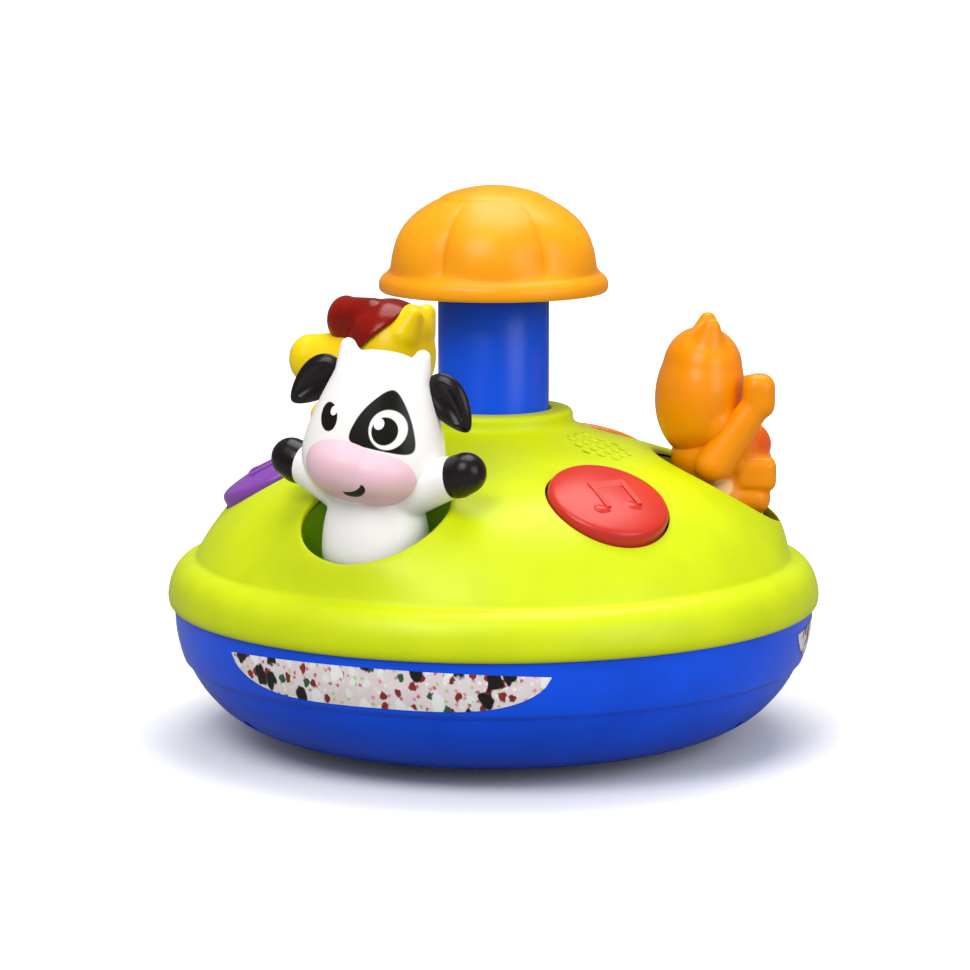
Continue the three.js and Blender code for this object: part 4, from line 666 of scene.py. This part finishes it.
carrier = turned([(27, 56), (59, 56), (59, POCKET_FLOOR), (27, POCKET_FLOOR)], 96, closed=True)
for turn in FIGURE_TURNS.values():
    carrier = crossing(carrier, cup_wall(turn), "UNION")
carrier = crossing(carrier, gathered([pocket_room(turn) for turn in FIGURE_TURNS.values()]))
for turn in FIGURE_TURNS.values():
    for side in (-1, 1):
        ear = turned([(0, -1.5), (5, -1.5), (5, 1.5), (0, 1.5)], 32)
        ear = crossing(placed(ear, Matrix.Rotation(math.pi / 2, 4, "Y")), brick(1.5, 5, -10, 0), "UNION")
        ear = placed(ear, station(turn, FIGURE_RADIUS + side * 11, PIN_HEIGHT))
        carrier = crossing(carrier, ear, "UNION")
green_abs = moulded("green_moulded_abs", "#8cc210", "#82b60c", roughness=0.4)
piece("pocket_cups", carrier, "housing", green_abs, ["figure_carrier"], sharp=32)


# Buttons: translucent caps, slightly crowned, each with a pair of beamed notes raised on it; a
# lamp shines through from below.
def lens_plastic(name, main, shade):
    """Tinted see-through plastic with a polished crown: light sinks in and glows back."""
    material, tree = blank_material(name)
    place = node(tree, "ShaderNodeTexCoord", {}, {})
    depth_cloud = node(tree, "ShaderNodeTexNoise", {},
                       {"Vector": place.outputs["Object"], "Scale": 1000 / 14, "Detail": 3.0})
    tint = node(tree, "ShaderNodeMix", {"data_type": "RGBA"},
                {0: depth_cloud.outputs["Fac"], 6: linear(main), 7: linear(shade)})
    ripple = node(tree, "ShaderNodeTexNoise", {}, {"Vector": place.outputs["Object"], "Scale": 1000 / 3})
    relief = node(tree, "ShaderNodeBump", {},
                  {"Height": ripple.outputs["Fac"], "Distance": 0.03 * MM, "Strength": 0.35})
    skin = node(tree, "ShaderNodeBsdfPrincipled", {},
                {"Base Color": tint.outputs[2], "Roughness": 0.3, "IOR": 1.5, "Subsurface Weight": 0.25,
                 "Subsurface Scale": 0.002, "Subsurface Radius": (1.0, 0.4, 0.3), "Specular IOR Level": 0.35,
                 "Normal": relief.outputs["Normal"]})
    node(tree, "ShaderNodeOutputMaterial", {}, {"Surface": skin.outputs[0]})
    return material


CAP_RADIUS = 20.9
NOTE_STEP = 6


def notes_relief():
    """Two note heads, their stems and a slanted beam, standing 0.3 mm proud of the crown."""
    parts = []
    for side in (-1, 1):
        head = bmesh.new()
        bmesh.ops.create_uvsphere(head, u_segments=32, v_segments=16, radius=1)
        bmesh.ops.scale(head, vec=(2.6 * MM, 3.4 * MM, 1.6 * MM), verts=head.verts)
        bmesh.ops.rotate(head, cent=(0, 0, 0), matrix=Matrix.Rotation(math.radians(-25), 3, "Z"),
                         verts=head.verts)
        parts.append(shifted(head, 7.5, side * NOTE_STEP - 1.5, 1.95))
        parts.append(shifted(brick(6.8, 1.0, -0.4, 2.1, 0.3), 0.8, side * NOTE_STEP + 1.1, 1.45))
    parts.append(shifted(brick(1.8, NOTE_STEP + 1, -0.4, 2.0, 0.3), -4.8, 1.1, 1.4))
    return parts


crown_line = bezier((CAP_RADIUS, -1.7), (CAP_RADIUS, 0.1), (20.3, 0.9), (18.6, 1.4), 12) + bezier(
    (18.6, 1.4), (13, 2.8), (7, 3.4), (0, 3.4), 16)[1:]
button_profile = [(19.1, -5.9), (CAP_RADIUS, -5.9)] + crown_line + [(0, -0.6), (12, -1.6), (19.1, -3.8)]
for colour_name, main, shade in (("red", "#cb3428", "#be2b1f"), ("purple", "#8a4bb0", "#7c3fa2"),
                                 ("orange", "#ea8a1e", "#e07a12")):
    cap = turned(button_profile, 96, closed=True)
    for part in notes_relief():
        cap = crossing(cap, part, "UNION")
    place = station(BUTTON_TURNS[colour_name], BUTTON_PLACE, BUTTON_HEIGHT, BUTTON_SLOPE)
    piece(f"{colour_name}_cap", placed(cap, place), f"{colour_name}_key",
          lens_plastic(f"{colour_name}_tinted_styrene", main, shade), [f"{colour_name}_button"])


# Post: a straight blue tube that slides down through the collar when the knob is pressed.
POST_RADIUS = 19.5
tube = turned([(17.3, 100.4), (17.7, 100), (19.1, 100), (POST_RADIUS, 100.4), (POST_RADIUS, 157),
               (19.1, 157.5), (17.3, 157.5)], 128, closed=True)
floors = [turned([(0, low), (17.6, low), (17.6, high), (0, high)], 64)
          for low, high in ((110, 113), (154.9, 157.5))]
for web in floors:
    tube = crossing(tube, web, "UNION")
piece("blue_post", tube, "plunger", blue_abs, ["post_tube"])


# Knob: an orange moulded cap with six swelling lobes between soft grooves, a beaded rim and a
# low crown, closed below by a flat base with a socket for the post.
orange_abs = moulded("orange_moulded_abs", "#f3a002", "#ec9200", roughness=0.34)
KNOB_RIM_TOP = 165.0
KNOB_GROOVE_TOP = 190.6
KNOB_LOBES = 6
GROOVE_DEPTH = 3.0
rim_bead = bezier((38.7, 157.8), (40.4, 157.9), (40.6, 160.8), (39.7, 162.4), 14) + bezier(
    (39.7, 162.4), (39.0, 163.8), (37.6, 164.2), (37.2, KNOB_RIM_TOP), 8)[1:]
knob_side = bezier((37.2, KNOB_RIM_TOP), (38.0, 176), (32.5, 184.5), (18.8, 190.4), 40)
knob_crown = bezier((18.6, KNOB_GROOVE_TOP), (17.6, 191.9), (9, 194.9), (0, 195), 18)
inner_side = bezier((34.6, 165), (35, 174), (29.5, 182), (15, 187.6), 16)
knob_profile = [(37.3, 157.8)] + rim_bead + knob_side[1:] + knob_crown + [(0, 188)] + inner_side[::-1] + [
    (34.6, 161.0), (37.3, 161.0)]
cap = turned(knob_profile, 216, closed=True)
for vertex in cap.verts:
    x, y, z = vertex.co / MM
    radius = math.hypot(x, y)
    rise = min(max((z - KNOB_RIM_TOP) / (KNOB_GROOVE_TOP - KNOB_RIM_TOP), 0), 1)
    fade = math.sin(math.pi * rise ** 0.6) ** 0.8 if 0 < rise < 1 else 0
    if fade > 0 and radius > 12:
        lobe = abs(math.cos(KNOB_LOBES / 2 * math.atan2(x, -y))) ** 0.6
        pull = 1 - GROOVE_DEPTH * fade * (1 - lobe) / radius
        vertex.co.x *= pull
        vertex.co.y *= pull
piece("knob_dome", cap, "plunger", orange_abs, ["knob_cap"])
base_profile = [(0, 158.1), (19.8, 158.1), (19.8, 156.5), (20.2, 156.1), (22, 156.1), (22.4, 156.5),
                (22.4, 158.1), (36.6, 158.1), (37, 158.5), (37, 160.7), (0, 160.7)]
piece("knob_floor", turned(base_profile), "plunger", orange_abs, ["knob_base"])


# Figures: each animal is moulded hollow in two halves and rocks on a pin in its pocket. The
# forms are built as swelling balls and limbs, melted into one skin as the mould blends them.
def ball(u, v, z, half_u, half_v, half_z, turn=None):
    form = bmesh.new()
    bmesh.ops.create_icosphere(form, subdivisions=4, radius=1)
    matrix = Matrix.Translation((u * MM, v * MM, z * MM)) @ (turn or Matrix.Identity(4))
    matrix = matrix @ Matrix.Diagonal((half_u * MM, half_v * MM, half_z * MM, 1))
    return placed(form, matrix)


def limb(start, end, start_round, end_round):
    """Round-ended limb that tapers between two places in mm."""
    form = bmesh.new()
    bmesh.ops.create_uvsphere(form, u_segments=32, v_segments=24, radius=1)
    along = (Vector(end) - Vector(start)).normalized()
    turn = along.to_track_quat("Z", "Y")
    for vertex in form.verts:
        at_end = vertex.co.z > 0
        size = end_round if at_end else start_round
        vertex.co = (turn @ vertex.co * size + Vector(end if at_end else start)) * MM
    return form


def both_sides(start, end, start_round, end_round):
    """The same limb on either side, its ends given for the side where across is positive."""
    return [limb((start[0], side * start[1], start[2]), (end[0], side * end[1], end[2]),
                 start_round, end_round) for side in (-1, 1)]


def melted(forms, grid=0.7, rounds=6):
    """Overlapping closed forms as one smooth skin."""
    whole = gathered(forms)
    mesh = bpy.data.meshes.new("blank")
    whole.to_mesh(mesh)
    whole.free()
    holder = bpy.data.objects.new("blank", mesh)
    scene.collection.objects.link(holder)
    remesh = holder.modifiers.new("melt", "REMESH")
    remesh.mode = "VOXEL"
    remesh.voxel_size = grid * MM
    smooth = holder.modifiers.new("soften", "SMOOTH")
    smooth.factor = 0.5
    smooth.iterations = rounds
    shaped = holder.evaluated_get(bpy.context.evaluated_depsgraph_get())
    result = bmesh.new()
    result.from_mesh(shaped.to_mesh())
    shaped.to_mesh_clear()
    bpy.data.objects.remove(holder)
    bpy.data.meshes.remove(mesh)
    return result


def painted(name, ground, shade, print_and_shade_layers, roughness=0.3):
    """Glossy moulded vinyl with pad-printed marks and, where given, painted shade; the list holds
    (colour, mask maker) from the first layer to the last."""
    material, tree = blank_material(name)
    place = node(tree, "ShaderNodeTexCoord", {}, {})
    flow = node(tree, "ShaderNodeTexNoise", {},
                {"Vector": place.outputs["Object"], "Scale": 1000 / 16, "Detail": 2.0})
    tint = node(tree, "ShaderNodeMix", {"data_type": "RGBA"},
                {0: flow.outputs["Fac"], 6: linear(ground), 7: linear(shade)}).outputs[2]
    for code, mask in print_and_shade_layers:
        tint = node(tree, "ShaderNodeMix", {"data_type": "RGBA"},
                    {0: mask(tree, place), 6: tint, 7: linear(code)}).outputs[2]
    fine = node(tree, "ShaderNodeTexNoise", {},
                {"Vector": place.outputs["Object"], "Scale": 1000 / 0.6, "Detail": 2.0})
    gloss = node(tree, "ShaderNodeMapRange", {},
                 {"Value": flow.outputs["Fac"], "To Min": roughness - 0.05, "To Max": roughness + 0.06})
    relief = node(tree, "ShaderNodeBump", {},
                  {"Height": fine.outputs["Fac"], "Distance": 0.004 * MM, "Strength": 0.35})
    skin = node(tree, "ShaderNodeBsdfPrincipled", {},
                {"Base Color": tint, "Roughness": gloss.outputs["Result"], "IOR": 1.5,
                 "Specular IOR Level": 0.25, "Normal": relief.outputs["Normal"]})
    node(tree, "ShaderNodeOutputMaterial", {}, {"Surface": skin.outputs[0]})
    return material


def oval(seat, centre, half_size, roll=0.0, soft=0.03):
    """Oval printed on a face: centre (out, across, up) and half sizes in mm in the head's frame."""
    def mask(tree, place):
        spot = seat @ Matrix.Translation(Vector(centre) * MM) @ Matrix.Rotation(math.radians(roll), 4, "X")
        near = node(tree, "ShaderNodeMapping", {"vector_type": "TEXTURE"},
                    {"Vector": place.outputs["Object"], "Location": spot.translation,
                     "Rotation": spot.to_euler(), "Scale": Vector(half_size) * MM})
        reach = node(tree, "ShaderNodeVectorMath", {"operation": "LENGTH"}, {0: near.outputs[0]})
        edge = node(tree, "ShaderNodeMapRange", {},
                    {"Value": reach.outputs["Value"], "From Min": 1 + soft, "From Max": 1 - soft})
        return edge.outputs["Result"]

    return mask


def patch(seat, corners, rounding):
    """Rounded patch printed on a face: corners are (across, up) in mm, anticlockwise seen from the front."""
    def mask(tree, place):
        near = node(tree, "ShaderNodeMapping", {"vector_type": "TEXTURE"},
                    {"Vector": place.outputs["Object"], "Location": seat.translation,
                     "Rotation": seat.to_euler(),
                     "Scale": (MM, MM, MM)})
        edge = None
        for start, end in zip(corners, corners[1:] + corners[:1]):
            run = (Vector(end) - Vector(start)).normalized()
            out = Vector((0, run.y, -run.x))
            far = node(tree, "ShaderNodeVectorMath", {"operation": "DOT_PRODUCT"},
                       {0: near.outputs[0], 1: out})
            away = node(tree, "ShaderNodeMath", {"operation": "SUBTRACT"},
                        {0: far.outputs["Value"], 1: out.dot(Vector((0, *start)))}).outputs[0]
            edge = away if edge is None else node(tree, "ShaderNodeMath", {"operation": "SMOOTH_MAX"},
                                                  {0: edge, 1: away, 2: rounding}).outputs[0]
        inside = node(tree, "ShaderNodeMapRange", {}, {"Value": edge, "From Min": 1.05, "From Max": 0.75})
        front = node(tree, "ShaderNodeSeparateXYZ", {}, {"Vector": near.outputs[0]})
        facing = node(tree, "ShaderNodeMath", {"operation": "GREATER_THAN"}, {0: front.outputs["X"], 1: 1.0})
        return node(tree, "ShaderNodeMath", {"operation": "MULTIPLY"},
                    {0: inside.outputs["Result"], 1: facing.outputs[0]}).outputs[0]
    return mask


def barrel(profile, depth):
    """Body turned from a profile and narrowed from front to back."""
    form = turned(profile, 64)
    bmesh.ops.scale(form, vec=(depth, 1, 1), verts=form.verts)
    return form


barrel_profile = [(0, 73.2)] + bezier((15.5, 73.2), (18.4, 73.2), (18.9, 74.6), (18.9, 79), 8) + bezier(
    (18.9, 79), (18.6, 88), (16.6, 96), (10, 104), 12)[1:] + [(0, 105)]


def trunk():
    """Barrel body, and the lug under it that the pivot pin goes through."""
    return [barrel(barrel_profile, 0.87), brick(6, 6.5, PIN_HEIGHT, 82, 1.0),
            limb((-5.5, 0, PIN_HEIGHT), (5.5, 0, PIN_HEIGHT), 5.6, 5.6)]


# Cow: white, with a wide pink muzzle, two small horns, drooping black ears, black hooves and a
# black patch round one eye; its head is turned and tipped a little.
COW_NECK = 104
cow = station(FIGURE_TURNS["cow"], FIGURE_RADIUS)
cow_turn = Matrix.Translation((0, -1.5 * MM, 0)) @ Matrix.Rotation(math.radians(12), 4, "Z")
cow_tip = (Matrix.Translation((0, 0, COW_NECK * MM)) @ Matrix.Rotation(math.radians(-7), 4, "X")
           @ Matrix.Translation((0, 0, -COW_NECK * MM)))
cow_seat = cow @ cow_turn @ cow_tip
cow_chin = bezier((6, 91.8), (15, 93), (23.4, 98), (24.6, 108), 14)
cow_brow = bezier((24.6, 108), (25, 116), (20, 128), (17, 135.5), 14)
cow_crown = bezier((17, 135.5), (15.4, 140), (12.4, 143.6), (6.5, 144.8), 8)
cow_skull = barrel([(0, 91.5)] + cow_chin + cow_brow[1:] + cow_crown[1:] + [(0, 145)], 0.84)
horns = both_sides((0, 11.6, 139), (0, 13.2, 145.2), 5.2, 2.8)
cow_white = "#f6f4f2"
cow_shade = "#f1eeec"
white_vinyl = painted("white_moulded_vinyl", cow_white, cow_shade, [])
cow_face = painted("white_vinyl_with_printed_eyes", cow_white, cow_shade, [
    ("#17150f", oval(cow_seat, (15, -12.0, 123.2), (14, 3.5, 4.7), 14)),
    ("#f6f4f2", oval(cow_seat, (15, -10.4, 125.5), (14, 1.3, 1.6), -20)),
    ("#17150f", patch(cow_seat, ((8.6, 135.4), (-0.2, 127.2), (-2.8, 117.4), (18.0, 115.4), (15.8, 125.6)),
                      6.5)),
    ("#f6f4f2", oval(cow_seat, (15, 9.2, 122.3), (14, 6.0, 6.5), 10)),
    ("#17150f", oval(cow_seat, (15, 8.4, 121.8), (14, 4.2, 4.6), 10)),
    ("#f6f4f2", oval(cow_seat, (15, 6.3, 124.0), (14, 1.7, 1.9), 0)),
])
piece("cow_face_and_skull", placed(melted([cow_skull] + horns, 0.7, 8), cow_seat), "cow", cow_face,
      ["cow_head"])

muzzle_parts = [ball(6.6, -2.6, 107.6, 19.2, 17.6, 12.8), ball(6.6, 4.6, 106.6, 18.4, 16, 11.8)]
pink_vinyl = painted("pink_moulded_vinyl", "#e8c1cd", "#e5bac7", [
    ("#1c1416", oval(cow_seat, (20, 2.4, 101.9), (16, 4.3, 2.5), 22)),
    ("#e8c1cd", oval(cow_seat, (20, 0.7, 103.6), (16, 4.6, 2.5), 22)),
], roughness=0.36)
piece("cow_snout", placed(melted(muzzle_parts, 0.6, 30), cow_seat), "cow", pink_vinyl, ["cow_muzzle"])

cow_trunk = trunk() + both_sides((0, 10.5, 97.6), (-1, 27.5, 104.4), 9.0, 7.2)
piece("cow_trunk", placed(melted(cow_trunk, 0.7, 8), cow), "cow", white_vinyl, ["cow_body"])

black_vinyl = moulded("black_moulded_vinyl", "#171315", "#211b1d", roughness=0.26, grain=0.6, clouds=9.0)
hooves = melted(both_sides((-1.2, 31.2, 105), (-1.2, 34.2, 106.4), 7.3, 7.0), 0.6, 4)
piece("cow_hooves", placed(hooves, cow), "cow", black_vinyl)


def leaf_ear(root, tip, half_width, thick, hollow):
    """Drooping leaf with a scooped front, from root to tip in the head's frame."""
    along = Vector(tip) - Vector(root)
    form = bmesh.new()
    bmesh.ops.create_icosphere(form, subdivisions=5, radius=1)
    for vertex in form.verts:
        x, y, z = vertex.co
        taper = 1 - 0.28 * y - 0.1 * y * y
        scoop = hollow * max(0, 1 - (z / 0.62) ** 2 - (y / 0.72) ** 2) if x > 0 else 0
        vertex.co = Vector((thick * x - scoop, y * along.length / 2, half_width * z * taper))
    middle = (Vector(root) + Vector(tip)) / 2
    lean = math.atan2(along.z, along.y)
    matrix = Matrix.Translation(middle * MM) @ Matrix.Rotation(lean, 4, "X") @ Matrix.Scale(MM, 4)
    return placed(form, matrix)


for side, name in ((-1, "left"), (1, "right")):
    ear = leaf_ear((-2, side * 16.5, 139.5), (-1, side * 31.5, 123), 6.6, 3.2, 3.0)
    piece(f"cow_{name}_flap", placed(ear, cow_seat), "cow", black_vinyl, [f"cow_{name}_ear"],
          sharp=60)


# Cat: orange, sitting with both paws raised beside its face, one a little higher, with pricked
# ears and a peach belly.
cat = station(FIGURE_TURNS["cat"], FIGURE_RADIUS)
cat_head_forms = [
    ball(-6.4, 0, 121.5, 15.8, 21, 22.5, Matrix.Rotation(math.radians(6), 4, "Y")),
    ball(-5.5, 0, 131, 14.0, 18.5, 14.5),
    ball(-1.5, 0, 113, 11, 19.5, 13),
] + both_sides((-5, 7.5, 134.5), (-3.2, 10.2, 146.4), 9.6, 3.3)
cat_orange = "#ef9200"
cat_face = painted("orange_vinyl_with_printed_face", cat_orange, "#e98600", [
    ("#f9c78c", oval(cat, (9, 0, 110.5), (7, 10.5, 6.2), 0, 0.06)),
    ("#17150f", oval(cat, (8, -5.8, 121), (9, 2.4, 4.0), 4)),
    ("#17150f", oval(cat, (8, 5.8, 121), (9, 2.4, 4.0), -4)),
    ("#f6f4f2", oval(cat, (8, -5.1, 122.6), (9, 0.9, 1.3), 0)),
    ("#f6f4f2", oval(cat, (8, 6.5, 122.6), (9, 0.9, 1.3), 0)),
])
piece("cat_face_and_skull", placed(melted(cat_head_forms, 0.7, 26), cat), "cat", cat_face,
      ["cat_head"])
peach_vinyl = painted("peach_vinyl_with_printed_nose", "#f9c78c", "#f6bf80", [
    ("#d9486a", oval(cat, (16, 0, 115.2), (9, 2.6, 1.7), 0)),
    ("#1c1416", oval(cat, (15, 0, 110.6), (9, 4.2, 2.4), 0)),
    ("#f9c78c", oval(cat, (15, 0, 112.0), (9, 5.0, 2.5), 0)),
])
cheeks = [ball(7, side * 4.6, 112.5, 7.6, 6.4, 5.4) for side in (-1, 1)] + [ball(7.5, 0, 110.4, 6.8, 5, 5)]
piece("cat_cheeks", placed(melted(cheeks, 0.5, 6), cat), "cat", peach_vinyl, ["cat_muzzle"])
cat_body_forms = trunk() + [ball(-2, 0, 99, 14.5, 17, 12), ball(7.5, 0, 103.5, 11.5, 13.5, 9.5)]
for side in (-1, 1):
    cat_body_forms += [
        limb((-2, side * 15.6, 98.5), (10.6, side * 15.4, 115.6 - side * 1.4), 7.0, 5.4),
        shifted(brick(5.7, 5.5, -8.0, 8.0, 4.8, True), 13.2, side * 15.2, 120.6 - side * 2.2),
        shifted(brick(7.7, 5.8, 88.7, 101.0, 3.4, True), 12.2, side * 10.5),
        limb((2, side * 10.5, 86), (12.6, side * 10.5, 86), 6.4, 5.6),
    ]
cat_skin = painted("orange_vinyl_with_peach_belly_and_painted_chest_shade", cat_orange, "#e98600", [
    # Painted shade: a deeper red-orange across the chest under the chin and paws stands for the shade and
    # orange bounce light there
    ("#e55a10", oval(cat, (16, 0, 105.5), (8, 15, 5), 0, 0.3)),
    ("#f9c78c", oval(cat, (16, 0, 95), (8, 5.5, 10), 0, 0.06)),
    ("#f9c78c", oval(cat, (0.5, 0, 91), (4.6, 30, 4.4), 0, 0.1)),
])
piece("cat_trunk", placed(melted(cat_body_forms, 0.7, 10), cat), "cat", cat_skin, ["cat_body"])


# Horse: yellow, with a long lifted snout, short ears and a glossy dark red mane swept over its
# forehead; it stands at the back and faces away.
horse = station(FIGURE_TURNS["horse"], FIGURE_RADIUS)
horse_seat = horse @ Matrix.Rotation(math.radians(40), 4, "Z")
horse_head_forms = [
    ball(-3, 0, 127, 15.5, 17, 19),
    ball(-8.5, 0, 136.4, 9.8, 12.5, 9.8),
    ball(1, 0, 113, 13.5, 15, 12),
    limb((8, 0, 124.0), (26, 0, 124.2), 12.0, 9.6),
    ball(30.5, 0, 124.2, 7.8, 9.6, 9.4),
] + both_sides((-10, 8, 135.5), (-13.4, 7, 142.4), 6.6, 3.5)
horse_yellow = "#f6d60c"
horse_face = painted("yellow_vinyl_with_printed_face", horse_yellow, "#efc804", [
    ("#17150f", oval(horse_seat, (19, -13, 133), (8, 3.6, 4.4), 0)),
    ("#17150f", oval(horse_seat, (19, 13, 133), (8, 3.6, 4.4), 0)),
    ("#f6f4f2", oval(horse_seat, (19, -12.4, 134.8), (7, 1.3, 1.5), 0)),
    ("#f6f4f2", oval(horse_seat, (19, 13.6, 134.8), (7, 1.3, 1.5), 0)),
    ("#8a3a10", oval(horse_seat, (36, -4, 127.5), (4, 1.3, 1.8), 0)),
    ("#8a3a10", oval(horse_seat, (36, 4, 127.5), (4, 1.3, 1.8), 0)),
])
piece("horse_face_and_skull", placed(melted(horse_head_forms, 0.7, 16), horse_seat), "horse",
      horse_face, ["horse_head"])
hairline = shifted(placed(brick(40, 40, 0, 40), Matrix.Rotation(math.radians(40), 4, "Y")), 3, 0, 132)
lock_forms = [
    ball(16, 0, 139.4, 7.2, 7.8, 9.2),
    limb((15, 1, 141), (4, 3, 141.6), 7.2, 6.8),
    crossing(ball(-1.5, 0, 128.5, 17.0, 18.4, 19.6), hairline, "INTERSECT"),
]
mane_red = moulded("dark_red_moulded_vinyl", "#8a1206", "#740e04", roughness=0.2, grain=0.7, clouds=9.0)
piece("horse_mane_lock", placed(melted(lock_forms, 0.7, 14), horse_seat), "horse", mane_red,
      ["horse_mane"])
yellow_vinyl = painted("yellow_moulded_vinyl", horse_yellow, "#efc804", [])
horse_trunk = trunk() + both_sides((0, 10, 96), (-1, 25.5, 106), 7.4, 6.2)
piece("horse_trunk", placed(melted(horse_trunk, 0.7, 8), horse), "horse", yellow_vinyl,
      ["horse_body"])
